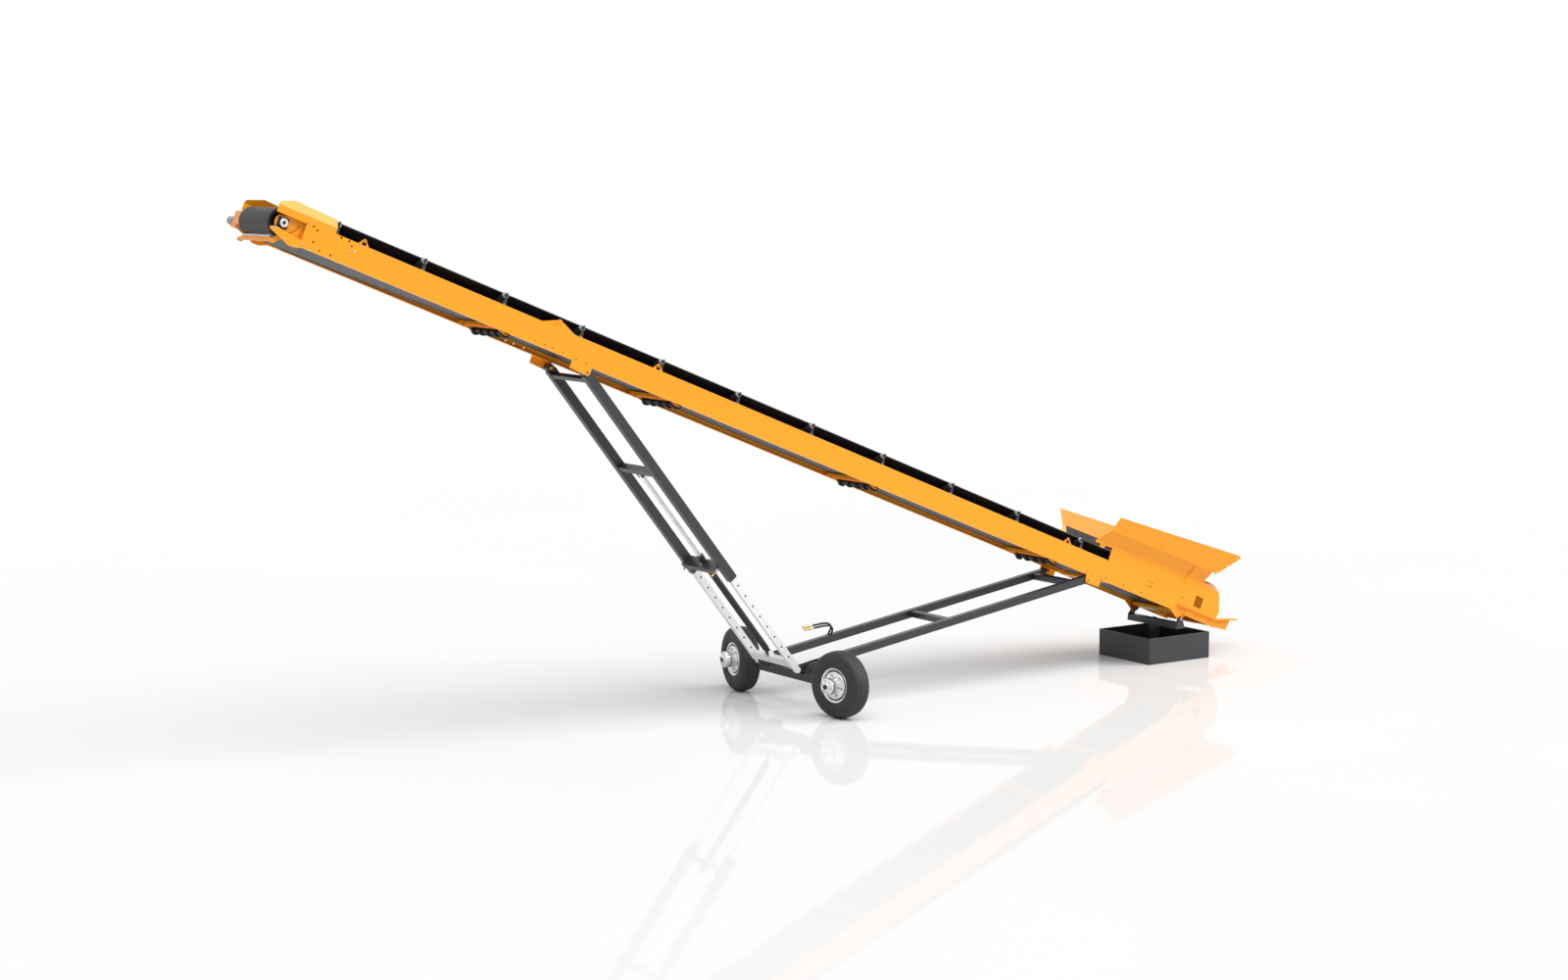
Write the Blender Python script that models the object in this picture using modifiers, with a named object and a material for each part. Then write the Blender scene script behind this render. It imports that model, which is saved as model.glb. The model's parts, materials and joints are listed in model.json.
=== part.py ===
"""Portable belt conveyor on two swivelling wheels.

Metres, +Z up. The origin is on the floor under the slewing axis of the ballast box.
+X points to the feed end and the tow hitch, -X to the head drum, -Y to the near side.
The inclined boom is built in its own frame: u runs down the slope toward the feed end,
v stands square to the boom, and both start on the side channels' top line at x = 0.
"""
import math

import bmesh
import bpy
from mathutils import Matrix, Vector

for old in list(bpy.data.objects):
    bpy.data.objects.remove(old, do_unlink=True)

# Clearances
SEAT = 0.0003            # gap between touching pieces
PIN_PLAY = 0.0003        # radial play of a pin in its hole
PIN_SIDES = 16
SHAFT_SIDES = 20
OVERLAP = 0.002          # how deep welded shapes run into each other
INSET = 0.001            # keeps welded faces out of one plane

# Boom
INCLINE = math.radians(21.95)
BOOM_TOP_Z = 1.020       # height of the channels' top line at x = 0
SIDE_Y = 0.490           # outer face of the side channels
CHANNEL_DEPTH = 0.295
CHANNEL_FLANGE = 0.060
SHEET = 0.006
SEAM_U = -10.901         # joint between head section and main section
HEAD_END_U = -14.360     # end of the head section's channels
TAIL_START_U = -1.398    # where the taller tail plates take over

# Fold hinge of the head section
FOLD_U = -10.858
FOLD_V = 0.071
FOLD_PIN_R = 0.016
HINGE_PLATE = 0.012
HINGE_EYE_R = 0.032
HINGE_MAIN_END_U = -10.605
HINGE_HEAD_END_U = -11.098

# Lifting lugs
LUG_U = (-13.617, -9.347, -2.216)
LUG_BASE = 0.064
LUG_HEIGHT = 0.062
LUG_HOLE_R = 0.012

# Belt, troughed on the idlers and flat on the drums
BELT_WIDTH = 0.800
BELT_T = 0.012
TROUGH = math.radians(30.0)
TROUGH_FLAT = 0.153      # half width of the flat middle
FOLD_BELT_HEAD_U = -11.250
FOLD_BELT_MAIN_U = -10.500
RETURN_V = -0.232        # underside of the return strand

# Idlers
CARRY_AXIS_V = -0.028    # axis of the middle roller
ROLLER_R = 0.0445
ROLLER_LEN = 0.300
WING_START_Y = 0.167
IDLER_BAR = 0.040
IDLER_SHAFT = 0.020
IDLER_SIDES = 8
DISC_SIDES = 8
BRACKET_T = 0.008
BRACKET_WIDTH = 0.046
BRACKET_TOP_V = 0.150
HEAD_IDLER_U = (-13.970, -12.794, -11.641)
MAIN_IDLER_FIRST_U = -10.509
MAIN_IDLER_LAST_U = -1.943
MAIN_IDLERS = 8
FEED_IDLER_U = (-0.950, -0.050)
RETURN_HEAD_U = (-11.455,)
RETURN_MAIN_U = (-8.842, -5.550, -2.260)
DISC_R = 0.060
DISC_T = 0.050
DISC_CORE_R = 0.034
DISC_COUNT = 5
CROSS_BACK = 0.130       # cross member uphill of its return roller
CROSS_WIDTH = 0.100
CROSS_TOP_V = -0.246

# Drums
HEAD_DRUM_U = -14.622
HEAD_DRUM_V = -0.115
HEAD_DRUM_R = 0.159
TAIL_DRUM_U = 0.615
TAIL_DRUM_V = -0.108
TAIL_DRUM_R = 0.130
DRUM_LEN = 0.860
DRUM_WALL = 0.012
DRUM_STEPS = 20
SHAFT_R = 0.030
BEARING_SIZE = 0.130
BEARING_T = 0.018
BEARING_RING_R = 0.048
BEARING_RING_T = 0.032
MOTOR_R = 0.062
MOTOR_END_Y = 1.010
HEAD_PLATE_TIP_U = -14.720

# Head guards and scraper
GUARD_START_U = -14.355
GUARD_END_U = -13.700
GUARD_HEIGHT = 0.150
GUARD_FLARE_Y = 0.062
GUARD_FLARE_V = 0.088
SCRAPER_U = -14.690
SCRAPER_V = -0.345
SCRAPER_R = 0.020

# Feed hopper and tail
TAIL_TOP_START = (-1.378, 0.240)
TAIL_TOP_MID = (0.414, 0.214)
TAIL_TOP_END = (0.791, 0.108)
TAIL_BOTTOM_END = (0.945, -0.295)
WINDOW_U = 0.523
WINDOW_V = -0.203
WINDOW_SIZE = (0.174, 0.188)
RAIL_START_U = 0.240
RAIL_DEPTH = 0.080
RAIL_OUT = 0.040
WING_PLATE = 0.006
SKIRT_T = 0.008
TONGUE_U = 0.865                 # where the tow tongue leaves the rear cross plate
TONGUE_V = -0.250
TONGUE_LEN = 0.905
TONGUE_RISE = math.radians(16.7)
HITCH_EYE_R = 0.018
HITCH_GUSSET = ((0.868, -0.285), (0.868, -0.246), (1.600, -0.026), (1.571, -0.204), (1.150, -0.240))

# Swivel beam and ballast box
TILT_X = 0.030
TILT_Z = 0.600
TILT_PIN_R = 0.018
TILT_EYE_R = 0.036
BEAM_HALF = 0.512
BEAM_WIDTH = 0.110
BEAM_TOP_Z = 0.550
BEAM_BOTTOM_Z = 0.460
BOX_X = 1.133
BOX_Y = 1.083
BOX_Z = 0.375
BOX_WALL = 0.012
POST = 0.110
SLEW_PIN_R = 0.022

# Height linkage, all hinged on axes along Y
LEG_PIN = (-10.287, -0.367)      # u, v of the legs' upper pivot
STRUT_PIN = (-1.671, -0.364)     # u, v of the struts' pivot
FOOT = (-6.545, 0.535)           # x, z where legs and struts meet
PIN_R = 0.022
EYE_R = 0.052
LINK_IN_Y = 0.392                # the links lie between these two planes
LINK_OUT_Y = 0.482
BRACKET_PLATE = 0.012
LEG_TUBE = (0.090, 0.120)        # width across, depth
LEG_WALL = 0.008
LEG_OUTER_LEN = 3.455
TELESCOPE_PLAY = 0.005
INNER_START = 1.900
MID_BAR_X = 1.680
LOW_BAR_X = 3.230
STRUT_TUBE = (0.090, 0.100)
BARREL_R = 0.048
ROD_R = 0.028
BARREL_START = 3.120
CLEVIS_X = 4.845
CROSS_CHANNEL_TOP = 0.195        # distances of the inner legs' cross channel from the foot pivot
CROSS_CHANNEL_END = 0.080
STRUT_BARS = (0.230, 2.390)      # distance of the struts' cross bars from their pivot

# Axle and wheels
AXLE_X = -6.380
AXLE_Z = 0.425
AXLE_SIZE = 0.110
AXLE_HALF = 0.645
WHEEL_X = -6.364
WHEEL_Y = 1.150
TYRE_R = 0.433
TYRE_HALF = 0.135
RIM_R = 0.200
RIM_FLANGE_R = 0.225
RIM_HALF = 0.125
HUB_R = 0.058
ARM_BACK = 0.328                 # from wheel centre to kingpin along the axle
ARM_OUT = 0.500                  # from kingpin to wheel centre across the axle
KINGPIN_R = 0.030
SLEEVE_R = 0.052
STUB_R = 0.035
WHEEL_STEPS = 24

NEAR = -1
FAR = 1
SIDES = (("near", NEAR), ("far", FAR))

parts = bpy.data.collections.new("portable_belt_conveyor")
cutters = bpy.data.collections.new("cutters")
bpy.context.scene.collection.children.link(parts)
bpy.context.scene.collection.children.link(cutters)


# Materials

def material(name, colour, roughness, metallic=0.0):
    mat = bpy.data.materials.new(name)
    mat.use_nodes = True
    shader = mat.node_tree.nodes["Principled BSDF"]
    shader.inputs["Base Color"].default_value = (*colour, 1.0)
    shader.inputs["Roughness"].default_value = roughness
    shader.inputs["Metallic"].default_value = metallic
    mat.diffuse_color = (*colour, 1.0)
    return mat


YELLOW = material("yellow_paint", (1.0, 0.42, 0.012), 0.35)
GREY = material("dark_grey_paint", (0.060, 0.065, 0.075), 0.45)
ZINC = material("galvanised_steel", (0.72, 0.73, 0.74), 0.40, 0.6)
RUBBER = material("belt_rubber", (0.012, 0.012, 0.012), 0.80)
TYRE = material("tyre_rubber", (0.035, 0.035, 0.037), 0.75)
BLACK = material("black_paint", (0.015, 0.015, 0.016), 0.40)
SILVER = material("wheel_silver", (0.60, 0.61, 0.62), 0.35, 0.7)
ROLLER = material("roller_steel", (0.10, 0.10, 0.105), 0.45, 0.5)
CHROME = material("chrome_rod", (0.75, 0.76, 0.77), 0.12, 1.0)
CAST = material("cast_bearing", (0.05, 0.05, 0.055), 0.55, 0.3)
MOTOR_GREY = material("motor_grey", (0.42, 0.43, 0.44), 0.45, 0.3)


# Shapes. Every function returns a loose mesh object in the frame it is drawn in.

def mesh_object(name, bm):
    bmesh.ops.remove_doubles(bm, verts=bm.verts, dist=0.00002)
    bmesh.ops.recalc_face_normals(bm, faces=bm.faces)
    mesh = bpy.data.meshes.new(name)
    bm.to_mesh(mesh)
    bm.free()
    obj = bpy.data.objects.new(name, mesh)
    parts.objects.link(obj)
    return obj


def block(x0, x1, y0, y1, z0, z1):
    """A box between two values on each axis, in any order."""
    bm = bmesh.new()
    bmesh.ops.create_cube(bm, size=1.0)
    size = (abs(x1 - x0), abs(y1 - y0), abs(z1 - z0))
    centre = ((x0 + x1) / 2, (y0 + y1) / 2, (z0 + z1) / 2)
    bmesh.ops.scale(bm, vec=size, verts=bm.verts)
    bmesh.ops.translate(bm, vec=centre, verts=bm.verts)
    return mesh_object("block", bm)


def rod(start, end, radius, sides=PIN_SIDES):
    """A round bar between two points."""
    start, end = Vector(start), Vector(end)
    axis = end - start
    bm = bmesh.new()
    bmesh.ops.create_cone(bm, cap_ends=True, cap_tris=False, segments=sides,
                          radius1=radius, radius2=radius, depth=axis.length)
    turn = axis.to_track_quat("Z", "Y").to_matrix().to_4x4()
    bmesh.ops.transform(bm, matrix=Matrix.Translation((start + end) / 2) @ turn, verts=bm.verts)
    return mesh_object("rod", bm)


def pin(x, z, radius, y0, y1, sides=PIN_SIDES):
    """A round bar along Y."""
    return rod((x, min(y0, y1), z), (x, max(y0, y1), z), radius, sides)


def bore(radius, sides=PIN_SIDES):
    """Radius of a many-sided hole in which a pin of as many sides turns freely."""
    return radius / math.cos(math.pi / sides) + PIN_PLAY


AXIS_TURN = {
    "Y": Matrix.Rotation(math.radians(90), 4, "X"),
    "X": Matrix(((0, 0, 1, 0), (1, 0, 0, 0), (0, 1, 0, 0), (0, 0, 0, 1))),
    "Z": Matrix.Identity(4),
}


def plate(outline, start, end, axis="Y"):
    """A flat outline pulled along an axis.

    The outline is (x, z) for axis Y, (y, z) for axis X and (x, y) for axis Z.
    """
    curve = bpy.data.curves.new("outline", "CURVE")
    curve.dimensions = "2D"
    curve.fill_mode = "BOTH"
    curve.extrude = abs(end - start) / 2
    spline = curve.splines.new("POLY")
    spline.points.add(len(outline) - 1)
    for point, (a, b) in zip(spline.points, outline):
        point.co = (a, b, 0, 1)
    spline.use_cyclic_u = True
    holder = bpy.data.objects.new("outline", curve)
    parts.objects.link(holder)
    depsgraph = bpy.context.evaluated_depsgraph_get()
    mesh = bpy.data.meshes.new_from_object(holder.evaluated_get(depsgraph))
    bpy.data.objects.remove(holder, do_unlink=True)
    bm = bmesh.new()
    bm.from_mesh(mesh)
    middle = (start + end) / 2
    shift = {"Y": (0, middle, 0), "X": (middle, 0, 0), "Z": (0, 0, middle)}[axis]
    bmesh.ops.transform(bm, matrix=Matrix.Translation(shift) @ AXIS_TURN[axis], verts=bm.verts)
    return mesh_object("plate", bm)


def turned(profile, steps, axis="Y", centre=(0, 0, 0)):
    """A closed profile of (along, radius) pairs turned round an axis by a Screw modifier."""
    bm = bmesh.new()
    loop = [bm.verts.new((radius, 0, along)) for along, radius in profile]
    closed = all(radius > 0 for _, radius in profile)
    for a, b in zip(loop, loop[1:]):
        bm.edges.new((a, b))
    if closed:
        bm.edges.new((loop[-1], loop[0]))
    obj = mesh_object("turned", bm)
    screw = obj.modifiers.new("turn", "SCREW")
    screw.axis = "Z"
    screw.steps = steps
    screw.render_steps = steps
    screw.use_merge_vertices = True
    screw.merge_threshold = 0.00002
    screw.use_smooth_shade = False
    apply_modifiers(obj)
    bm = bmesh.new()
    bm.from_mesh(obj.data)
    bmesh.ops.remove_doubles(bm, verts=bm.verts, dist=0.00002)
    turn = {"Y": Matrix.Rotation(math.radians(-90), 4, "X"),
            "X": Matrix.Rotation(math.radians(90), 4, "Y"), "Z": Matrix.Identity(4)}[axis]
    bmesh.ops.transform(bm, matrix=Matrix.Translation(centre) @ turn, verts=bm.verts)
    bmesh.ops.recalc_face_normals(bm, faces=bm.faces)
    bm.to_mesh(obj.data)
    bm.free()
    return obj


def shell(rows, thickness, offset=0.0):
    """A sheet through rows of points, given thickness by a Solidify modifier."""
    bm = bmesh.new()
    grid = [[bm.verts.new(point) for point in row] for row in rows]
    for low, high in zip(grid, grid[1:]):
        for i in range(len(low) - 1):
            bm.faces.new((low[i], low[i + 1], high[i + 1], high[i]))
    mesh = bpy.data.meshes.new("shell")
    bm.to_mesh(mesh)
    bm.free()
    obj = bpy.data.objects.new("shell", mesh)
    parts.objects.link(obj)
    solid = obj.modifiers.new("sheet", "SOLIDIFY")
    solid.thickness = thickness
    solid.offset = offset
    solid.use_even_offset = True
    apply_modifiers(obj)
    return obj


def loft(rings):
    """A solid through rings of as many points each, closed at both ends."""
    bm = bmesh.new()
    loops = [[bm.verts.new(point) for point in ring] for ring in rings]
    count = len(loops[0])
    for near, far in zip(loops, loops[1:]):
        for i in range(count):
            j = (i + 1) % count
            bm.faces.new((near[i], near[j], far[j], far[i]))
    bm.faces.new(loops[0])
    bm.faces.new(loops[-1])
    return mesh_object("loft", bm)


def apply_modifiers(obj):
    bpy.context.view_layer.update()
    depsgraph = bpy.context.evaluated_depsgraph_get()
    mesh = bpy.data.meshes.new_from_object(obj.evaluated_get(depsgraph))
    obj.modifiers.clear()
    obj.data = mesh


def combine(base, others, operation):
    """Join the others to the base, or cut them from it."""
    for other in others:
        parts.objects.unlink(other)
        cutters.objects.link(other)
        other.hide_render = True
        other.display_type = "WIRE"
        boolean = base.modifiers.new(operation.lower(), "BOOLEAN")
        boolean.operation = operation
        boolean.object = other
    apply_modifiers(base)
    for other in others:
        bpy.data.objects.remove(other, do_unlink=True)
    return base


def weld(*shapes):
    return combine(shapes[0], shapes[1:], "UNION")


def drill(base, *holes):
    return combine(base, holes, "DIFFERENCE")


def moved(obj, matrix):
    """The shape redrawn in another frame."""
    obj.data.transform(matrix)
    return obj


def arc(cx, cy, radius, start, end, steps):
    """Points on an arc, angles in degrees."""
    points = []
    for i in range(steps + 1):
        angle = math.radians(start + (end - start) * i / steps)
        points.append((cx + radius * math.cos(angle), cy + radius * math.sin(angle)))
    return points


# Frames and finished pieces

def frame(name, parent, at, turn=0.0, about="Y"):
    empty = bpy.data.objects.new(name, None)
    parts.objects.link(empty)
    empty.parent = parent
    empty.location = at
    setattr(empty.rotation_euler, about.lower(), turn)
    return empty


def finish(obj, name, parent, colour, at=(0, 0, 0), smooth=False):
    obj.name = name
    obj.data.name = name
    obj.parent = parent
    obj.location = at
    obj.data.materials.clear()
    obj.data.materials.append(colour)
    if smooth:
        obj.data.shade_smooth()
        obj.data.set_sharp_from_angle(angle=math.radians(35))
    return obj


def copy_of(obj, name, parent, at):
    twin = bpy.data.objects.new(name, obj.data)
    parts.objects.link(twin)
    twin.parent = parent
    twin.location = at
    return twin


def boom_point(u, v):
    """World x, z of a point given on the boom."""
    x = u * math.cos(INCLINE) + v * math.sin(INCLINE)
    z = BOOM_TOP_Z - u * math.sin(INCLINE) + v * math.cos(INCLINE)
    return x, z


def on_boom(x, z):
    """Boom u, v of a point given in the world."""
    drop = z - BOOM_TOP_Z
    u = x * math.cos(INCLINE) - drop * math.sin(INCLINE)
    v = x * math.sin(INCLINE) + drop * math.cos(INCLINE)
    return u, v


BOOM = frame("boom_frame", None, (0, 0, BOOM_TOP_Z), INCLINE)
HEAD = frame("head_fold_axis", BOOM, (FOLD_U, 0, FOLD_V))
ON_HEAD = (-FOLD_U, 0, -FOLD_V)

LEG_X, LEG_Z = boom_point(*LEG_PIN)
STRUT_X, STRUT_Z = boom_point(*STRUT_PIN)
FOOT_X, FOOT_Z = FOOT
LEG_LEN = math.hypot(FOOT_X - LEG_X, LEG_Z - FOOT_Z)
LEG_TURN = math.atan2(LEG_Z - FOOT_Z, FOOT_X - LEG_X)
STRUT_LEN = math.hypot(STRUT_X - FOOT_X, STRUT_Z - FOOT_Z)
STRUT_TURN = -math.atan2(STRUT_Z - FOOT_Z, STRUT_X - FOOT_X)
LEG = frame("leg_axis", None, (LEG_X, 0, LEG_Z), LEG_TURN)
STRUT = frame("strut_axis", None, (STRUT_X, 0, STRUT_Z), STRUT_TURN)
WORLD_TO_STRUT = (Matrix.Rotation(-STRUT_TURN, 4, "Y") @ Matrix.Translation((-STRUT_X, 0, -STRUT_Z)))

TILT_U, TILT_V = on_boom(TILT_X, TILT_Z)
TILT = frame("tilt_axis", None, (TILT_X, 0, TILT_Z))
ON_TILT = (-TILT_X, 0, -TILT_Z)
SLEW = frame("slew_axis", None, (0, 0, 0))


# Side channels with hinge plates, lugs and link brackets

def channel(u0, u1, side):
    """A side channel, open toward the belt."""
    outer = side * SIDE_Y
    inner = side * (SIDE_Y - SHEET)
    lip = side * (SIDE_Y - CHANNEL_FLANGE)
    outline = [(outer, 0), (lip, 0), (lip, -SHEET), (inner, -SHEET),
               (inner, SHEET - CHANNEL_DEPTH), (lip, SHEET - CHANNEL_DEPTH),
               (lip, -CHANNEL_DEPTH), (outer, -CHANNEL_DEPTH)]
    return plate(outline, u0, u1, "X")


def side_plate(outline, side, out_y, thickness):
    """A plate whose outer face lies at out_y on the given side."""
    return plate(outline, side * out_y, side * (out_y - thickness))


def lifting_lug(u, side):
    half = LUG_BASE / 2
    top = arc(u, LUG_HEIGHT - 0.022, 0.022, 20, 160, 4)
    outline = [(u - half, -OVERLAP), (u + half, -OVERLAP)] + top
    lug = side_plate(outline, side, SIDE_Y - INSET, HINGE_PLATE)
    eye = pin(u, LUG_HEIGHT - 0.022, LUG_HOLE_R, side * 0.46, side * 0.50, 12)
    return drill(lug, eye)


def hinge_main(side):
    """The main section's hinge plate and the fold pin."""
    seam = SEAM_U + SEAT + INSET
    eye = arc(FOLD_U, FOLD_V, HINGE_EYE_R, 30, 180, 6)
    outline = [(seam, -OVERLAP), (HINGE_MAIN_END_U, -OVERLAP)] + eye + [(seam, 0.045)]
    fold_pin = pin(FOLD_U, FOLD_V, FOLD_PIN_R, side * (SIDE_Y + 0.008), side * (SIDE_Y - 0.030), SHAFT_SIDES)
    return [side_plate(outline, side, SIDE_Y - INSET, HINGE_PLATE), fold_pin]


def hinge_head(side):
    """The head section's hinge plate, inside the main one and reaching over the seam."""
    out_y = SIDE_Y - INSET - HINGE_PLATE - SEAT
    seam = SEAM_U - SEAT - INSET
    eye = arc(FOLD_U, FOLD_V, HINGE_EYE_R, -60, 150, 8)
    outline = [(HINGE_HEAD_END_U, -OVERLAP), (seam, -OVERLAP), (seam, 0.006)] + eye
    hole = pin(FOLD_U, FOLD_V, bore(FOLD_PIN_R, SHAFT_SIDES), side * 0.44, side * 0.50, SHAFT_SIDES)
    return drill(side_plate(outline, side, out_y, HINGE_PLATE), hole)


def link_bracket(pivot, u0, u1, top_v, side):
    """A plate on the channel that hangs below it, and the pin of a link."""
    u, v = pivot
    out_y = SIDE_Y + BRACKET_PLATE - OVERLAP
    bottom = arc(u, v, EYE_R - 0.008, 200, 340, 6)
    outline = [(u0, top_v), (u0, -CHANNEL_DEPTH)] + bottom + [(u1, -CHANNEL_DEPTH), (u1, top_v)]
    hung = side_plate(outline, side, out_y, BRACKET_PLATE)
    bolt = pin(u, v, PIN_R, side * (out_y + 0.010), side * (LINK_IN_Y - 0.030))
    return [hung, bolt]


def main_channel(name, side):
    body = channel(SEAM_U + SEAT, TAIL_START_U - SEAT, side)
    hinge = hinge_main(side)
    leg = link_bracket(LEG_PIN, LEG_PIN[0] - 0.150, LEG_PIN[0] + 0.100, -0.185, side)
    strut = link_bracket(STRUT_PIN, STRUT_PIN[0] - 0.062, STRUT_PIN[0] + 0.246, -0.274, side)
    lugs = [lifting_lug(u, side) for u in LUG_U[1:]]
    plates = [hung for hung, _ in (hinge, leg, strut)]
    pins = [bolt for _, bolt in (hinge, leg, strut)]
    return finish(weld(weld(body, *plates, *lugs), *pins), name, BOOM, YELLOW)


def head_channel(name, side):
    """Head channel with the plate that reaches past it to the drum's bearing."""
    u, v = HEAD_DRUM_U, HEAD_DRUM_V
    body = channel(HEAD_END_U, SEAM_U - SEAT, side)
    tip = arc(u, v, u - HEAD_PLATE_TIP_U, 130, 230, 6)
    outline = [(HEAD_END_U + 0.180, -0.012), (HEAD_END_U + 0.180, -0.283),
               (HEAD_END_U - 0.080, -0.283), (u + 0.060, v - 0.110)]
    outline = outline + tip[::-1] + [(u + 0.060, v + 0.100)]
    arm = side_plate(outline, side, SIDE_Y - SHEET + OVERLAP, HINGE_PLATE)
    lug = lifting_lug(LUG_U[0], side)
    body = weld(body, arm, hinge_head(side), lug)
    shaft = pin(u, v, bore(SHAFT_R, DRUM_STEPS), side * 0.40, side * 0.55, DRUM_STEPS)
    return finish(drill(body, shaft), name, HEAD, YELLOW, ON_HEAD)


# Idlers

def carry_idler():
    """A three-roller trough idler, drawn round u = 0, v = 0."""
    half = BRACKET_WIDTH / 2
    base_v = CARRY_AXIS_V - ROLLER_R - 0.055
    step_y = SIDE_Y - CHANNEL_FLANGE
    bar = block(-IDLER_BAR / 2, IDLER_BAR / 2, -step_y + 0.004, step_y - 0.004, base_v, base_v + IDLER_BAR)
    shapes = [bar]
    rise = ROLLER_LEN * math.sin(TROUGH)
    run = ROLLER_LEN * math.cos(TROUGH)
    end_y = WING_START_Y + run
    shaft = IDLER_SHAFT / 2
    shapes.append(pin(0, CARRY_AXIS_V, ROLLER_R, -ROLLER_LEN / 2, ROLLER_LEN / 2, IDLER_SIDES))
    for side in (NEAR, FAR):
        foot = side * (SIDE_Y - SHEET - 0.001)
        inner = side * (step_y - 0.002)
        back = side * (step_y - 0.002 - BRACKET_T)
        post = side * (end_y + 0.040)
        post_in = side * (end_y + 0.040 - BRACKET_T)
        outline = [(back, base_v), (inner, base_v), (inner, SEAT), (foot, SEAT),
                   (foot, SEAT + BRACKET_T), (post, SEAT + BRACKET_T), (post, BRACKET_TOP_V),
                   (post_in, BRACKET_TOP_V), (post_in, SEAT + BRACKET_T), (back, SEAT + BRACKET_T)]
        shapes.append(plate(outline, -half, half, "X"))
        shapes.append(block(-half, half, side * (ROLLER_LEN / 2 - 0.004), side * (WING_START_Y + 0.006),
                            base_v + 0.010, CARRY_AXIS_V + 0.016))
        start = Vector((0, side * WING_START_Y, CARRY_AXIS_V))
        end = Vector((0, side * end_y, CARRY_AXIS_V + rise))
        along = (end - start).normalized()
        shapes.append(rod(start, end, ROLLER_R, IDLER_SIDES))
        shapes.append(rod(end - along * 0.010, end + along * 0.046, shaft, 4))
    return weld(*shapes)


def return_idler():
    """A disc return roller and the cross member that carries it, drawn round u = 0."""
    axis_v = RETURN_V - SEAT - DISC_R
    half_len = BELT_WIDTH / 2 - 0.015
    pitch = (2 * half_len - DISC_T) / (DISC_COUNT - 1)
    profile = [(-half_len - 0.012, 0), (-half_len - 0.012, DISC_CORE_R)]
    for i in range(DISC_COUNT):
        start = -half_len + i * pitch
        profile += [(start, DISC_CORE_R), (start, DISC_R), (start + DISC_T, DISC_R),
                    (start + DISC_T, DISC_CORE_R)]
    profile += [(half_len + 0.012, DISC_CORE_R), (half_len + 0.012, 0)]
    roller = turned(profile, DISC_SIDES, "Y", (0, 0, axis_v))
    floor_v = SHEET - CHANNEL_DEPTH + SEAT
    inner_y = SIDE_Y - SHEET - SEAT
    back = -CROSS_BACK
    beam = block(back - CROSS_WIDTH, back, -inner_y, inner_y, floor_v, CROSS_TOP_V)
    hollow = block(back - CROSS_WIDTH + 0.008, back - 0.008, -inner_y - 0.01, inner_y + 0.01,
                   floor_v - 0.01, CROSS_TOP_V - 0.006)
    shapes = [drill(beam, hollow), roller]
    for side in (NEAR, FAR):
        y0 = side * (half_len + 0.006)
        y1 = side * (half_len + 0.016)
        outline = [(back - 0.006, floor_v + 0.004), (back - 0.006, CROSS_TOP_V - 0.008),
                   (0.010, axis_v + 0.030), (0.030, axis_v), (0.020, axis_v - 0.028),
                   (-0.030, axis_v - 0.028)]
        shapes.append(plate(outline, y0, y1))
    return weld(*shapes)


# Belt

def belt_ring(u, v, normal, wing):
    """A belt section: inner face at (u, v), outward normal in the (u, v) plane, wing angle."""
    nu, nv = normal
    reach = BELT_WIDTH / 2 - TROUGH_FLAT
    edge_y = TROUGH_FLAT + reach * math.cos(wing)
    edge_up = reach * math.sin(wing)
    top_flat = TROUGH_FLAT - BELT_T * math.tan(wing / 2)
    tip_y = edge_y - BELT_T * math.sin(wing)
    tip_up = edge_up + BELT_T * math.cos(wing)
    section = [(-edge_y, edge_up), (-TROUGH_FLAT, 0), (TROUGH_FLAT, 0), (edge_y, edge_up),
               (tip_y, tip_up), (top_flat, BELT_T), (-top_flat, BELT_T), (-tip_y, tip_up)]
    return [(u + nu * up, y, v + nv * up) for y, up in section]


CARRY_V = CARRY_AXIS_V + ROLLER_R + SEAT
TROUGHED = (0, 1)


def drum_wrap(u, v, radius, toward):
    """Belt rings half way round a drum, from its top to its bottom."""
    steps = DRUM_STEPS // 2
    rings = []
    for i in range(steps + 1):
        angle = math.pi * i / steps
        normal = (toward * math.sin(angle), math.cos(angle))
        rings.append(belt_ring(u + normal[0] * radius, v + normal[1] * radius, normal, 0.0))
    return rings


def return_ring(u, v=RETURN_V):
    """A ring of the return strand, whose outer face looks down at height v."""
    return belt_ring(u, v + BELT_T, (0, -1), 0.0)


def head_belt():
    rings = [belt_ring(FOLD_BELT_HEAD_U - SEAT, CARRY_V, TROUGHED, TROUGH),
             belt_ring(HEAD_IDLER_U[0], CARRY_V, TROUGHED, TROUGH)]
    rings += drum_wrap(HEAD_DRUM_U, HEAD_DRUM_V, HEAD_DRUM_R + SEAT, -1)
    rings += [return_ring(RETURN_HEAD_U[0]), return_ring(SEAM_U - SEAT)]
    return finish(loft(rings), "belt_head", HEAD, RUBBER, ON_HEAD)


def main_belt():
    rings = [belt_ring(FOLD_BELT_MAIN_U + SEAT, CARRY_V, TROUGHED, TROUGH),
             belt_ring(FEED_IDLER_U[1], CARRY_V, TROUGHED, TROUGH)]
    rings += drum_wrap(TAIL_DRUM_U, TAIL_DRUM_V, TAIL_DRUM_R + SEAT, 1)
    rings += [return_ring(RETURN_MAIN_U[-1]), return_ring(SEAM_U + SEAT)]
    return finish(loft(rings), "belt_main", BOOM, RUBBER)


def fold_belt():
    rings = [belt_ring(FOLD_BELT_HEAD_U, CARRY_V, TROUGHED, TROUGH),
             belt_ring(FOLD_BELT_MAIN_U, CARRY_V, TROUGHED, TROUGH)]
    return finish(loft(rings), "belt_fold", BOOM, RUBBER)


# Drums, bearings and drive

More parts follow.
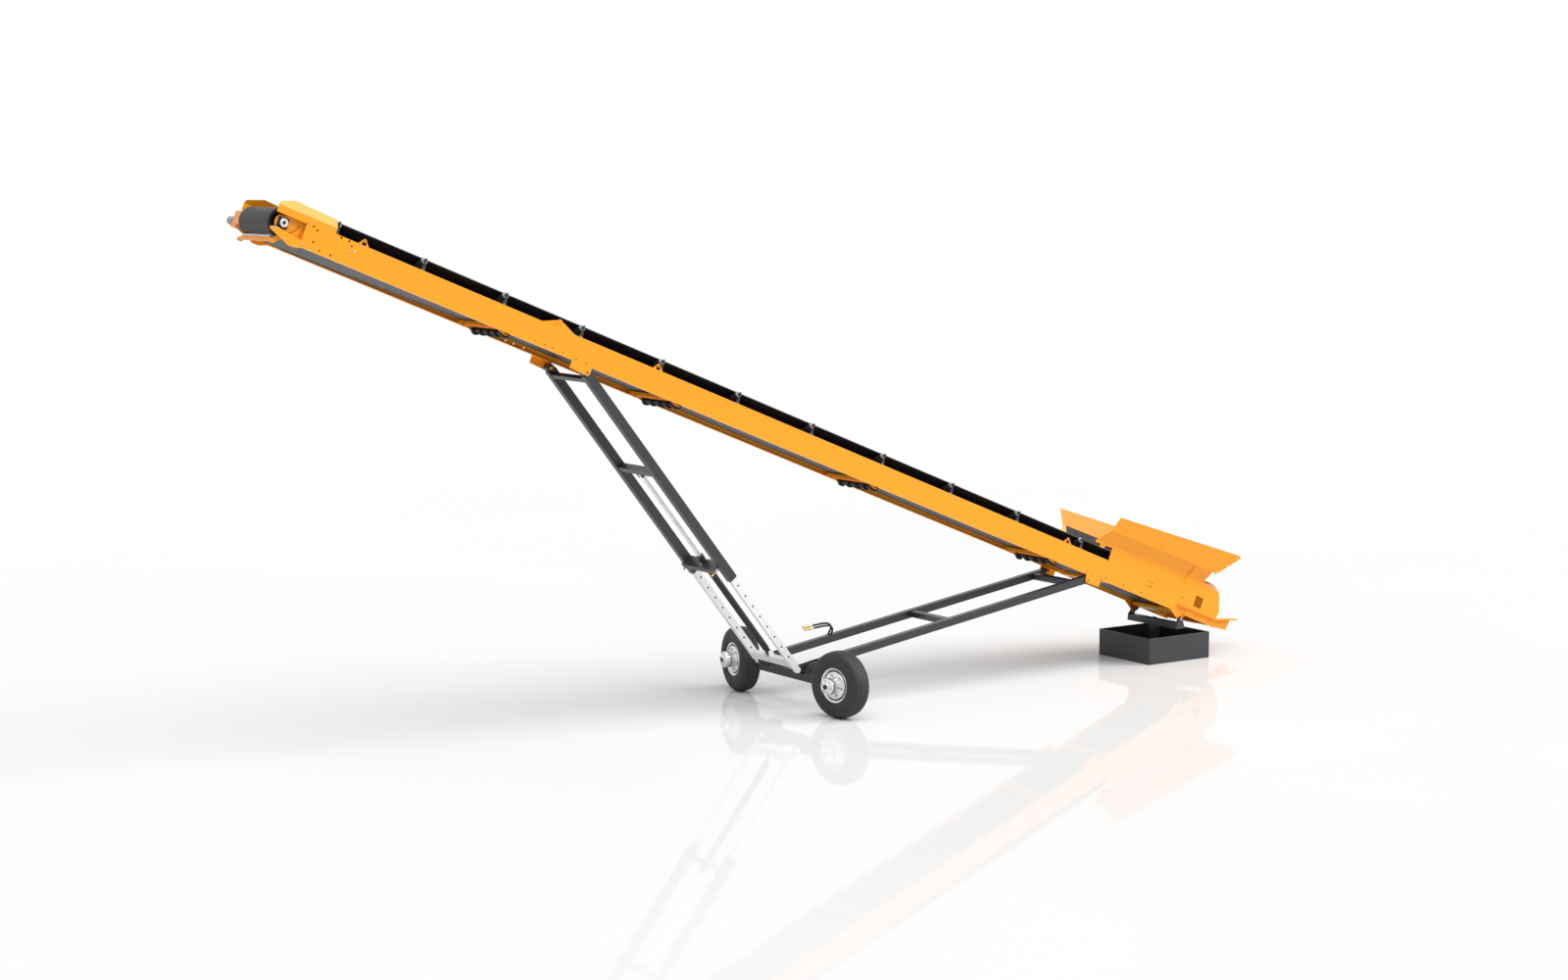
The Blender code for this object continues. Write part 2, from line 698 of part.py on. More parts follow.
def drum(name, parent, at, u, v, radius, far_reach, near_reach):
    """A drum with open ends: its shell stands on one disc in the middle of the shaft."""
    half, web, inner = DRUM_LEN / 2, DRUM_WALL, radius - DRUM_WALL
    profile = [(-near_reach, 0), (-near_reach, SHAFT_R), (-web, SHAFT_R), (-web, inner),
               (-half, inner), (-half, radius), (half, radius), (half, inner), (web, inner),
               (web, SHAFT_R), (far_reach, SHAFT_R), (far_reach, 0)]
    return finish(turned(profile, DRUM_STEPS, "Y", (u, 0, v)), name, parent, BLACK, at, smooth=True)


def bearing(name, side, seat_y, parent, at, u, v):
    """A square flange bearing bolted outside a plate whose outer face is at seat_y."""
    half = BEARING_SIZE / 2
    chamfer = half * 0.35
    outline = [(u - half, v - half + chamfer), (u - half + chamfer, v - half),
               (u + half - chamfer, v - half), (u + half, v - half + chamfer),
               (u + half, v + half - chamfer), (u + half - chamfer, v + half),
               (u - half + chamfer, v + half), (u - half, v + half - chamfer)]
    inner = side * (seat_y + SEAT)
    flange = plate(outline, inner, inner + side * BEARING_T)
    ring = pin(u, v, BEARING_RING_R, inner + side * 0.004, inner + side * (BEARING_T + BEARING_RING_T), 20)
    hole = pin(u, v, bore(SHAFT_R, DRUM_STEPS), side * 0.40, side * 0.60, DRUM_STEPS)
    return finish(drill(weld(flange, ring), hole), name, parent, CAST, at, smooth=True)


HEAD_PLATE_Y = SIDE_Y - SHEET + OVERLAP


def drive_motor():
    """Hydraulic motor with its gearbox flange on the far end of the head shaft."""
    start = HEAD_PLATE_Y + SEAT + BEARING_T + BEARING_RING_T + 0.014
    depth = start + 0.070
    hole = bore(SHAFT_R, DRUM_STEPS)
    profile = [(depth, 0), (depth, hole), (start, hole), (start, 0.085),
               (start + 0.030, 0.085), (start + 0.040, 0.070), (start + 0.140, 0.070),
               (start + 0.150, 0.052), (MOTOR_END_Y - 0.120, 0.052), (MOTOR_END_Y - 0.115, MOTOR_R),
               (MOTOR_END_Y, MOTOR_R), (MOTOR_END_Y, 0)]
    body = turned(profile, DRUM_STEPS, "Y", (HEAD_DRUM_U, 0, HEAD_DRUM_V))
    return finish(body, "drive_motor", HEAD, MOTOR_GREY, ON_HEAD, smooth=True)


def belt_scraper():
    """A blade under the head drum on a cross pole with two hanging arms."""
    inner = HEAD_PLATE_Y - HINGE_PLATE - SEAT
    pole = pin(SCRAPER_U, SCRAPER_V, SCRAPER_R, -inner, inner)
    blade_top = HEAD_DRUM_V - HEAD_DRUM_R - BELT_T - 0.003
    blade = block(SCRAPER_U - 0.006, SCRAPER_U + 0.006, -0.38, 0.38, SCRAPER_V, blade_top)
    shapes = [pole, blade]
    for side in (NEAR, FAR):
        outline = [(SCRAPER_U - 0.030, SCRAPER_V - 0.030), (SCRAPER_U + 0.030, SCRAPER_V - 0.030),
                   (SCRAPER_U + 0.150, -0.230), (SCRAPER_U + 0.060, -0.190)]
        shapes.append(side_plate(outline, side, inner, BRACKET_T))
    return finish(weld(*shapes), "belt_scraper", HEAD, YELLOW, ON_HEAD)


def head_guard(name, side):
    """Upright guard with a flared top on the head channel's outer edge."""
    y = side * (SIDE_Y - SHEET / 2)
    rows = []
    for out, v in ((0, SEAT), (0, GUARD_HEIGHT), (GUARD_FLARE_Y, GUARD_HEIGHT + GUARD_FLARE_V)):
        rows.append([(u, y + side * out, v) for u in (GUARD_START_U, GUARD_END_U)])
    return finish(shell(rows, SHEET), name, HEAD, YELLOW, ON_HEAD)


# Tail, hopper and hitch

def tail_frame():
    """Tail plates, their cross tubes, the hinge lugs of the swivel beam and the tow hitch."""
    shapes = []
    lug_u, lug_v = TILT_U, TILT_V
    for side in (NEAR, FAR):
        notch = arc(TAIL_TOP_START[0] + 0.020, TAIL_TOP_START[1] - 0.020, 0.020, 90, 180, 3)
        outline = [(TAIL_START_U, -CHANNEL_DEPTH), TAIL_BOTTOM_END, TAIL_TOP_END, TAIL_TOP_MID]
        outline += notch + [(TAIL_TOP_START[0], 0.030), (TAIL_START_U, 0.0)]
        sheet = side_plate(outline, side, SIDE_Y, SHEET)
        lug = [(lug_u - 0.110, -CHANNEL_DEPTH + OVERLAP)]
        lug += arc(lug_u, lug_v, TILT_EYE_R, 200, 340, 6)
        lug += [(lug_u + 0.110, -CHANNEL_DEPTH + OVERLAP), (lug_u + 0.060, -0.230),
                (lug_u - 0.060, -0.230)]
        lug_plate = side_plate(lug, side, SIDE_Y - SHEET + OVERLAP, HINGE_PLATE)
        rail = plate([(side * (SIDE_Y - OVERLAP), -0.330), (side * (SIDE_Y + RAIL_OUT), -0.330),
                      (side * (SIDE_Y + RAIL_OUT), -0.324), (side * (SIDE_Y + 0.006), -0.324),
                      (side * (SIDE_Y + 0.006), -0.256), (side * (SIDE_Y + RAIL_OUT), -0.256),
                      (side * (SIDE_Y + RAIL_OUT), -0.250), (side * (SIDE_Y - OVERLAP), -0.250)],
                     RAIL_START_U, TAIL_BOTTOM_END[0] - 0.010, "X")
        eye = pin(lug_u, lug_v, bore(TILT_PIN_R), side * 0.44, side * 0.52)
        window = block(WINDOW_U, WINDOW_U + WINDOW_SIZE[0], side * 0.44, side * 0.52,
                       WINDOW_V, WINDOW_V + WINDOW_SIZE[1])
        shapes.append(drill(weld(sheet, lug_plate, rail), eye, window))
    inner = SIDE_Y - SHEET + OVERLAP
    for u0, u1, v0, v1 in ((lug_u - 0.080, lug_u + 0.080, -0.318, -0.268),
                           (0.830, 0.900, -0.290, -0.230), (-1.300, -1.220, -0.290, -0.250)):
        shapes.append(block(u0, u1, -inner, inner, v0, v1))
    tongue = plate([(0, -0.080), (0, 0.080), (TONGUE_LEN - 0.090, 0.050)]
                   + arc(TONGUE_LEN - 0.040, 0, 0.040, 70, -70, 6)
                   + [(TONGUE_LEN - 0.090, -0.050)], -0.010, 0.010, "Z")
    eye = rod((TONGUE_LEN - 0.042, 0, -0.03), (TONGUE_LEN - 0.042, 0, 0.03), HITCH_EYE_R)
    place = Matrix.Translation((TONGUE_U, 0, TONGUE_V)) @ Matrix.Rotation(-TONGUE_RISE, 4, "Y")
    shapes.append(moved(drill(tongue, eye), place))
    shapes.append(plate(HITCH_GUSSET, -0.010, 0.010))
    shapes.append(block(TONGUE_U - 0.010, TONGUE_U + 0.010, -inner, inner, -0.290, -0.205))
    return finish(weld(*shapes), "tail_frame", BOOM, YELLOW)


WING_GAP = WING_PLATE / 2 + SEAT
BAND_START = (-1.720, 0.243)     # u, v of the line where a wing leaves its tail plate
BAND_END = (0.414, 0.214)
CREASE_START = (-1.616, 0.384)   # u, v of the fold between a wing's band and its upper plate
CREASE_END = (0.430, 0.420)
CREASE_END_OUT = 0.115           # how far out of the tail plate the fold ends
RIM_START = (-1.565, 0.596)
RIM_START_OUT = 0.160
RIM_END = (0.728, 0.765)
RIM_END_OUT = 0.215
WING_FLANGE = 0.036
SKIRT_START_U = -1.590
SKIRT_END_U = 0.060
SKIRT_TOP_SHARE = 0.92           # how far up the band the skirt is clamped
SKIRT_BEND_SHARE = 0.48
SKIRT_DROP = ((0.470, 0.266), (0.415, 0.172))    # y, v of the skirt's free part
BACK_U = 0.395
BACK_FOOT_V = 0.075
GUARD_SHEET = 0.004
TAIL_GUARD = ((0.412, 0.196), (0.782, 0.092), (0.915, -0.212))


def band_slopes():
    """How far the wing's flat lower band leans out per metre of u and of v."""
    drop = (BAND_END[1] - BAND_START[1]) / (BAND_END[0] - BAND_START[0])
    rise = CREASE_END[1] - BAND_END[1] - (CREASE_END[0] - BAND_END[0]) * drop
    per_v = (CREASE_END_OUT - WING_GAP) / rise
    return -per_v * drop, per_v


def band_out(u, v):
    per_u, per_v = band_slopes()
    return WING_GAP + per_u * (u - BAND_END[0]) + per_v * (v - BAND_END[1])


def hopper_wing(name, side):
    """A folded hopper side: flange on the tail plate, leaning band, steeper upper plate."""
    def row(start, start_out, end, end_out):
        return [(start[0], side * (SIDE_Y + start_out), start[1]),
                (end[0], side * (SIDE_Y + end_out), end[1])]
    rows = [
        row((BAND_START[0], BAND_START[1] - WING_FLANGE), WING_GAP,
            (BAND_END[0], BAND_END[1] - WING_FLANGE), WING_GAP),
        row(BAND_START, WING_GAP, BAND_END, WING_GAP),
        row(CREASE_START, band_out(*CREASE_START), CREASE_END, CREASE_END_OUT),
        row(RIM_START, RIM_START_OUT, RIM_END, RIM_END_OUT),
    ]
    return finish(shell(rows, WING_PLATE), name, BOOM, YELLOW)


def skirt_point(u, share):
    """Out and v of a point on the skirt's middle, clamped inside the wing's band."""
    along = (u - BAND_START[0]) / (BAND_END[0] - BAND_START[0])
    foot_v = BAND_START[1] + (BAND_END[1] - BAND_START[1]) * along
    along = (u - CREASE_START[0]) / (CREASE_END[0] - CREASE_START[0])
    crease_v = CREASE_START[1] + (CREASE_END[1] - CREASE_START[1]) * along
    v = foot_v + (crease_v - foot_v) * share
    per_u, per_v = band_slopes()
    shift = ((WING_PLATE + SKIRT_T) / 2 + SEAT) / math.sqrt(1 + per_u ** 2 + per_v ** 2)
    return band_out(u, v) - shift, v + per_v * shift


def hopper_skirt(name, side):
    """Rubber strip on the inside of a hopper wing, down to the belt's edge."""
    rows = []
    for share in (SKIRT_TOP_SHARE, SKIRT_BEND_SHARE):
        row = []
        for u in (SKIRT_START_U, SKIRT_END_U):
            out, v = skirt_point(u, share)
            row.append((u, side * (SIDE_Y + out), v))
        rows.append(row)
    for y, v in SKIRT_DROP:
        rows.append([(u, side * y, v) for u in (SKIRT_START_U, SKIRT_END_U)])
    return finish(shell(rows, SKIRT_T), name, BOOM, RUBBER)


def hopper_back():
    """Back wall between the tail plates, leaning back above the fold of the wings."""
    inner = SIDE_Y - SHEET - SEAT
    rows = []
    for u, v, half in ((BACK_U, BACK_FOOT_V, inner), (BACK_U, BAND_END[1] + 0.010, inner),
                       (BACK_U, CREASE_END[1], SIDE_Y + CREASE_END_OUT - 0.012),
                       (RIM_END[0] - 0.030, RIM_END[1] - 0.010, SIDE_Y + RIM_END_OUT - 0.016)):
        rows.append([(u, -half, v), (u, half, v)])
    return finish(shell(rows, WING_PLATE), "hopper_back", BOOM, YELLOW)


def tail_guard():
    """Cover over the tail drum, from the hopper's back wall down to the hitch beam."""
    inner = SIDE_Y - SHEET - SEAT
    rows = []
    for u, v in TAIL_GUARD:
        rows.append([(u, -inner, v), (u, inner, v)])
    return finish(shell(rows, GUARD_SHEET), "tail_guard", BOOM, YELLOW)


# Leg frame, struts, cylinder

def hollow_tube(x0, x1, y, width, depth, wall, open_end):
    """A box tube along X round the plane y, closed at its start and open at its end."""
    outer = block(x0, x1, y - width / 2, y + width / 2, -depth / 2, depth / 2)
    bore = block(x0 + wall, x1 + open_end, y - width / 2 + wall, y + width / 2 - wall,
                 -depth / 2 + wall, depth / 2 - wall)
    return drill(outer, bore)


def link_eye(side, x=0.0):
    """The eye of a link, with its pin hole cut later."""
    return pin(x, 0, EYE_R, side * LINK_IN_Y, side * LINK_OUT_Y, 16)


LINK_Y = (LINK_IN_Y + LINK_OUT_Y) / 2


def leg_outer():
    """Two outer legs joined by three cross bars, the lowest pierced by the cylinder."""
    width, depth = LEG_TUBE
    shapes = []
    for side in (NEAR, FAR):
        tube = hollow_tube(0.030, LEG_OUTER_LEN, side * LINK_Y, width, depth, LEG_WALL, 0.05)
        hole = pin(0, 0, bore(PIN_R), side * 0.35, side * 0.52)
        shapes.append(drill(weld(tube, link_eye(side)), hole))
    reach = LINK_IN_Y + OVERLAP
    shapes.append(block(0.070, 0.130, -reach, reach, -0.055, 0.005))
    shapes.append(block(MID_BAR_X - 0.070, MID_BAR_X, -reach, reach, -0.052, 0.040))
    low = block(LOW_BAR_X - 0.008, LOW_BAR_X, -reach, reach, -0.118, 0.052)
    lip = block(LOW_BAR_X - 0.004, LOW_BAR_X + 0.056, -reach, reach, -0.118, -0.110)
    low = drill(weld(low, lip), rod((LOW_BAR_X - 0.02, 0, 0), (LOW_BAR_X + 0.02, 0, 0), BARREL_R + 0.006, 16))
    shapes.append(low)
    for y in (-0.047, 0.033):
        shapes.append(block(MID_BAR_X - 0.004, MID_BAR_X + 0.075, y, y + 0.014, -0.036, 0.036))
    rod_eye = MID_BAR_X + 0.045
    shapes.append(pin(rod_eye, 0, 0.015, -0.052, 0.052))
    return finish(weld(*shapes), "leg_outer", LEG, GREY)


INNER_WIDTH = LEG_TUBE[0] - 2 * (LEG_WALL + TELESCOPE_PLAY)
INNER_DEPTH = LEG_TUBE[1] - 2 * (LEG_WALL + TELESCOPE_PLAY)


def leg_inner():
    """Two galvanised inner legs with their cross channel and the cylinder's lower lugs."""
    shapes = []
    half_w, half_d = INNER_WIDTH / 2, INNER_DEPTH / 2
    for side in (NEAR, FAR):
        y = side * LINK_Y
        outline = [(INNER_START, -half_d), (LEG_LEN - 0.060, -half_d)]
        outline += arc(LEG_LEN, 0, 0.042, -130, 130, 8)
        outline += [(LEG_LEN - 0.060, half_d), (INNER_START, half_d)]
        shapes.append(plate(outline, y - half_w, y + half_w))
    reach = LINK_Y - half_w + OVERLAP
    top, bottom = LEG_LEN - CROSS_CHANNEL_TOP, LEG_LEN - CROSS_CHANNEL_END
    shapes.append(block(top, bottom, -reach, reach, -0.046, -0.038))
    shapes.append(block(top, top + 0.008, -reach, reach, -0.045, 0.016))
    shapes.append(block(bottom - 0.008, bottom, -reach, reach, -0.045, 0.016))
    for y in (-0.052, 0.038):
        shapes.append(plate([(top + 0.002, -0.044), (bottom - 0.004, -0.044), (bottom - 0.030, 0.020),
                             (CLEVIS_X + 0.010, 0.034), (CLEVIS_X - 0.030, 0.032),
                             (CLEVIS_X - 0.034, -0.020)], y, y + 0.014))
    shapes.append(pin(CLEVIS_X, 0, 0.018, -0.060, 0.060))
    return finish(weld(*shapes), "leg_inner", LEG, ZINC)


def cylinder_barrel():
    inner, floor, end = ROD_R + PIN_PLAY, CLEVIS_X - 0.120, CLEVIS_X - 0.050
    profile = [(floor, 0), (floor, inner), (BARREL_START, inner), (BARREL_START, BARREL_R),
               (BARREL_START + 0.060, BARREL_R), (BARREL_START + 0.062, BARREL_R - 0.004),
               (end - 0.025, BARREL_R - 0.004), (end, 0.026), (end, 0)]
    body = turned(profile, 24, "X")
    eye = block(CLEVIS_X - 0.060, CLEVIS_X + 0.026, -0.036, 0.036, -0.024, 0.024)
    hole = pin(CLEVIS_X, 0, bore(0.018), -0.06, 0.06)
    return finish(drill(weld(body, eye), hole), "cylinder_barrel", LEG, BLACK, smooth=True)


def cylinder_rod():
    eye_x = MID_BAR_X + 0.045
    bar = rod((eye_x, 0, 0), (BARREL_START + 0.30, 0, 0), ROD_R, 24)
    eye = pin(eye_x, 0, 0.032, -0.0325, 0.0325, 20)
    hole = pin(eye_x, 0, bore(0.015), -0.06, 0.06)
    return finish(drill(weld(bar, eye), hole), "cylinder_rod", LEG, CHROME, smooth=True)


def lower_frame():
    """Two struts from the boom to the axle with their cross bars and end plates."""
    width, depth = STRUT_TUBE
    shapes = []
    end_x = -STRUT_LEN + 0.340
    for side in (NEAR, FAR):
        y = side * LINK_Y
        tube = block(end_x, -0.030, y - width / 2, y + width / 2, -depth / 2, depth / 2)
        hole = pin(0, 0, bore(PIN_R), side * 0.35, side * 0.52)
        inner = side * (LINK_IN_Y + OVERLAP)
        outline = [(end_x + 0.080, depth / 2 - 0.004), (end_x + 0.080, -depth / 2 + 0.004),
                   (end_x - 0.010, -0.115), (end_x - 0.180, -0.130)]
        outline += arc(-STRUT_LEN, 0, 0.040, 250, 110, 6)
        outline += [(end_x - 0.080, depth / 2 - 0.004)]
        cheek = plate(outline, inner, inner - side * 0.012)
        stub = pin(-STRUT_LEN, 0, PIN_R, inner - side * 0.020, inner + side * 0.005)
        outer = side * (LINK_OUT_Y + 0.006)
        outline = [(end_x + 0.120, depth / 2 - 0.006), (end_x + 0.060, -depth / 2 + 0.006),
                   (end_x - 0.020, -0.110), (end_x - 0.150, -0.128), (end_x - 0.235, -0.110),
                   (end_x - 0.245, -0.040), (end_x - 0.150, depth / 2 - 0.008)]
        gusset = plate(outline, outer, outer - side * 0.012)
        shapes.append(drill(weld(tube, link_eye(side), cheek, stub, gusset), hole))
    reach = LINK_IN_Y + 0.004
    for back in STRUT_BARS:
        shapes.append(block(-back - 0.040, -back + 0.040, -reach, reach, -0.040, 0.040))
    half = AXLE_SIZE / 2 + SEAT
    passage = block(AXLE_X - half, AXLE_X + half, -0.5, 0.5, AXLE_Z - half, AXLE_Z + half)
    frame_body = drill(weld(*shapes), moved(passage, WORLD_TO_STRUT))
    return finish(frame_body, "lower_frame", STRUT, GREY)


# Axle, swivel brackets and wheels

TOE = math.atan2(WHEEL_Y, -WHEEL_X)


def kingpin_at(side):
    """World x, y of a kingpin: the wheel's axle points at the ballast box's slewing axis."""
    along = ARM_BACK * math.cos(TOE) - ARM_OUT * math.sin(TOE)
    across = ARM_BACK * math.sin(TOE) + ARM_OUT * math.cos(TOE)
    return WHEEL_X + along, side * (WHEEL_Y - across)


KING_Z0 = 0.370
KING_Z1 = 0.500


def axle_beam():
    half = AXLE_SIZE / 2
    z0, z1 = AXLE_Z - half, AXLE_Z + half
    shapes = [block(AXLE_X - half, AXLE_X + half, -AXLE_HALF, AXLE_HALF, z0, z1)]
    for side in (NEAR, FAR):
        x, y = kingpin_at(side)
        shapes.append(block(AXLE_X, x, y - 0.046, y + 0.046, z0 + 0.010, z1 - 0.005))
        shapes.append(rod((x, y, KING_Z0), (x, y, KING_Z1), SLEEVE_R, 20))
    beam = weld(*shapes)
    holes = []
    for side in (NEAR, FAR):
        x, y = kingpin_at(side)
        holes.append(rod((x, y, KING_Z0 - 0.05), (x, y, KING_Z1 + 0.05), bore(KINGPIN_R, SHAFT_SIDES),
                         SHAFT_SIDES))
    beam = moved(drill(beam, *holes), WORLD_TO_STRUT)
    return finish(beam, "axle_beam", STRUT, BLACK)


def swivel_bracket(name, side, parent):
    """Kingpin, fork plates, arm and stub axle; -X is the axle's outer end."""
    gap = 0.002
    low, high = KING_Z0 - gap, KING_Z1 + gap
    out = side * (ARM_OUT + 0.040)
    shapes = [rod((0, 0, low - 0.030), (0, 0, high + 0.030), KINGPIN_R, SHAFT_SIDES)]
    for z0, z1 in ((low - 0.014, low), (high, high + 0.014)):
        shapes.append(block(-0.130, 0.056, -side * 0.056, side * 0.140, z0, z1))
    shapes.append(block(-0.130, -0.056, side * 0.080, side * 0.137, low - 0.006, high + 0.006))
    shapes.append(block(-0.126, -0.060, side * 0.100, out, TYRE_R - 0.055, TYRE_R + 0.055))
    hub = side * ARM_OUT
    shapes.append(rod((-0.064, hub, TYRE_R), (-ARM_BACK - 0.090, hub, TYRE_R), STUB_R, WHEEL_STEPS))
    return finish(weld(*shapes), name, parent, BLACK)


def rim_profile():
    """Half section of a rim with its disc and hub: (out along the axle, radius)."""
    hole = bore(STUB_R, WHEEL_STEPS)
    inner = RIM_HALF - 0.012
    return [(0.092, 0), (0.092, hole), (-0.118, hole), (-0.118, HUB_R), (0.012, HUB_R),
            (0.006, 0.110), (0.012, RIM_R - 0.012), (-inner, RIM_R - 0.010),
            (-RIM_HALF, RIM_FLANGE_R - 0.010), (-RIM_HALF, RIM_FLANGE_R), (-inner, RIM_FLANGE_R),
            (-inner, RIM_R), (inner, RIM_R), (inner, RIM_FLANGE_R), (RIM_HALF, RIM_FLANGE_R),
            (RIM_HALF, RIM_FLANGE_R - 0.010), (inner, RIM_R - 0.010), (0.030, RIM_R - 0.010),
            (0.020, 0.110), (0.036, 0.090), (0.036, HUB_R + 0.006), (0.112, HUB_R),
            (0.120, HUB_R - 0.010), (0.120, 0)]


def wheel_rim(name, parent, centre):
    profile = [(-out, radius) for out, radius in rim_profile()]
    return finish(turned(profile, WHEEL_STEPS, "X", centre), name, parent, SILVER, smooth=True)


def tyre_profile():
    inner = RIM_HALF - 0.012 - SEAT
    sidewall = [(inner, RIM_R + SEAT), (inner, RIM_FLANGE_R + 0.004), (TYRE_HALF * 0.95, 0.250),
                (TYRE_HALF, 0.320), (TYRE_HALF * 0.95, 0.378), (TYRE_HALF * 0.82, 0.414),
                (TYRE_HALF * 0.55, TYRE_R)]
    return sidewall + [(-a, r) for a, r in reversed(sidewall)]


def wheel_tyre(name, parent, centre):
    return finish(turned(tyre_profile(), WHEEL_STEPS, "X", centre), name, parent, TYRE, smooth=True)


# Swivel beam and ballast box

def swivel_beam():
    half = BEAM_WIDTH / 2
    lug_in = SIDE_Y + 0.008
    shapes = [block(-half, half, -lug_in - OVERLAP, lug_in + OVERLAP, BEAM_BOTTOM_Z, BEAM_TOP_Z)]
    for side in (NEAR, FAR):
        top = arc(TILT_X, TILT_Z, TILT_EYE_R, 0, 180, 8)
        outline = [(-half, BEAM_BOTTOM_Z), (half + 0.020, BEAM_BOTTOM_Z)] + top + [(-half, BEAM_TOP_Z)]
        shapes.append(side_plate(outline, side, BEAM_HALF, BEAM_HALF - lug_in))
        shapes.append(pin(TILT_X, TILT_Z, TILT_PIN_R, side * (BEAM_HALF + 0.008), side * 0.466))
    beam = weld(*shapes)
    hole = rod((0, 0, 0.40), (0, 0, 0.60), bore(SLEW_PIN_R, SHAFT_SIDES), SHAFT_SIDES)
    return finish(drill(beam, hole), "swivel_beam", TILT, GREY, ON_TILT)


def ballast_box():
    """Open box with the slewing post on its floor, braced by two cross ribs."""
    hx, hy = BOX_X / 2, BOX_Y / 2
    outer = block(-hx, hx, -hy, hy, 0, BOX_Z)
    inside = block(-hx + BOX_WALL, hx - BOX_WALL, -hy + BOX_WALL, hy - BOX_WALL, BOX_WALL, BOX_Z + 0.1)
    half = POST / 2
    shapes = [drill(outer, inside)]
    shapes.append(block(-half, half, -half, half, BOX_WALL - OVERLAP, BEAM_BOTTOM_Z - SEAT))
    for x, y in ((hx - BOX_WALL + OVERLAP, 0.005), (0.005, hy - BOX_WALL + OVERLAP)):
        shapes.append(block(-x, x, -y, y, BOX_WALL - OVERLAP, BOX_Z * 0.62))
    shapes.append(rod((0, 0, BEAM_BOTTOM_Z - 0.010), (0, 0, BEAM_TOP_Z + SEAT), SLEW_PIN_R, SHAFT_SIDES))
    shapes.append(rod((0, 0, BEAM_TOP_Z + SEAT), (0, 0, BEAM_TOP_Z + 0.018), 0.034, 6))
    return finish(weld(*shapes), "ballast_box", SLEW, GREY)


# Assembly

for label, side in SIDES:
    main_channel("channel_" + label, side)
    head_channel("head_channel_" + label, side)
    head_guard("head_guard_" + label, side)
    hopper_wing("hopper_wing_" + label, side)
    hopper_skirt("hopper_skirt_" + label, side)
    bearing("head_bearing_" + label, side, HEAD_PLATE_Y, HEAD, ON_HEAD, HEAD_DRUM_U, HEAD_DRUM_V)

idler = finish(carry_idler(), "carry_idler_1", BOOM, ROLLER)
step = (MAIN_IDLER_LAST_U - MAIN_IDLER_FIRST_U) / (MAIN_IDLERS - 1)
main_rows = [MAIN_IDLER_FIRST_U + step * i for i in range(MAIN_IDLERS)] + list(FEED_IDLER_U)
idler.location = (main_rows[0], 0, 0)
for number, u in enumerate(main_rows[1:], 2):
    copy_of(idler, "carry_idler_%d" % number, BOOM, (u, 0, 0))
for number, u in enumerate(HEAD_IDLER_U, 1):
    copy_of(idler, "head_idler_%d" % number, HEAD, (u - FOLD_U, 0, -FOLD_V))

low_idler = finish(return_idler(), "return_idler_1", BOOM, ROLLER, (RETURN_MAIN_U[0], 0, 0))
for number, u in enumerate(RETURN_MAIN_U[1:], 2):
    copy_of(low_idler, "return_idler_%d" % number, BOOM, (u, 0, 0))
copy_of(low_idler, "return_idler_head", HEAD, (RETURN_HEAD_U[0] - FOLD_U, 0, -FOLD_V))

head_belt()
main_belt()
fold_belt()
drum("head_drum", HEAD, ON_HEAD, HEAD_DRUM_U, HEAD_DRUM_V, HEAD_DRUM_R, 0.600, 0.545)
drum("tail_drum", BOOM, (0, 0, 0), TAIL_DRUM_U, TAIL_DRUM_V, TAIL_DRUM_R, 0.4835, 0.4835)
drive_motor()
belt_scraper()
tail_frame()
hopper_back()
tail_guard()

leg_outer()
leg_inner()
cylinder_barrel()
cylinder_rod()
lower_frame()
axle_beam()
for label, side in SIDES:
    x, y = kingpin_at(side)
    king = frame("kingpin_" + label, None, (x, y, 0), -side * TOE, "Z")
    swivel_bracket("swivel_bracket_" + label, side, king)
    hub = frame("wheel_axis_" + label, king, (-ARM_BACK, side * ARM_OUT, TYRE_R))
    wheel_rim("wheel_rim_" + label, hub, (0, 0, 0))
    wheel_tyre("wheel_tyre_" + label, hub, (0, 0, 0))
swivel_beam()
ballast_box()
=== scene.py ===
"""Dressed model of the portable belt conveyor.

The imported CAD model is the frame. The boom is drawn in its own coordinates, u down its
slope, y across and v square to it, and turned into place. Metres everywhere.
"""
import json
from math import atan2, cos, degrees, hypot, pi, radians, sin, sqrt

import bmesh
import bpy
from mathutils import Matrix, Vector


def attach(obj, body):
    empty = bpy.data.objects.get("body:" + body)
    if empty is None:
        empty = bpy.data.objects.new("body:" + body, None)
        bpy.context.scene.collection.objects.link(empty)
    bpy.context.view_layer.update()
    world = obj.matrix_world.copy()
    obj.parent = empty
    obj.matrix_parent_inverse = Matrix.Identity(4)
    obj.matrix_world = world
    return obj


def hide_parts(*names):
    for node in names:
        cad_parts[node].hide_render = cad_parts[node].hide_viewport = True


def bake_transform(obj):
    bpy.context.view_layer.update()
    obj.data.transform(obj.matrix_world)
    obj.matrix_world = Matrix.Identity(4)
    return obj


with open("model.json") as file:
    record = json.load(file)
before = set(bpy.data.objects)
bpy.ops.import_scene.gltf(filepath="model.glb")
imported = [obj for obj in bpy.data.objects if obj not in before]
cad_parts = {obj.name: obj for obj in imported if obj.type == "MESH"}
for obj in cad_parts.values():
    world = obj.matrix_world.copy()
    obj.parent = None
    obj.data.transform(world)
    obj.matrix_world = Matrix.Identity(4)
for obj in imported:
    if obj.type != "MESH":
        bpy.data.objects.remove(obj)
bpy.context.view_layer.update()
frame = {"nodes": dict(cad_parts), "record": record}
NODE_SLOT = {node: obj.data.materials[0].name.split(".")[0] for node, obj in frame["nodes"].items()}
BODY_OF = {node: body for body, nodes in frame["record"]["behaviour"]["bodies"].items() for node in nodes}

NEAR = -1
FAR = 1
SIDES = (("near", NEAR), ("far", FAR))

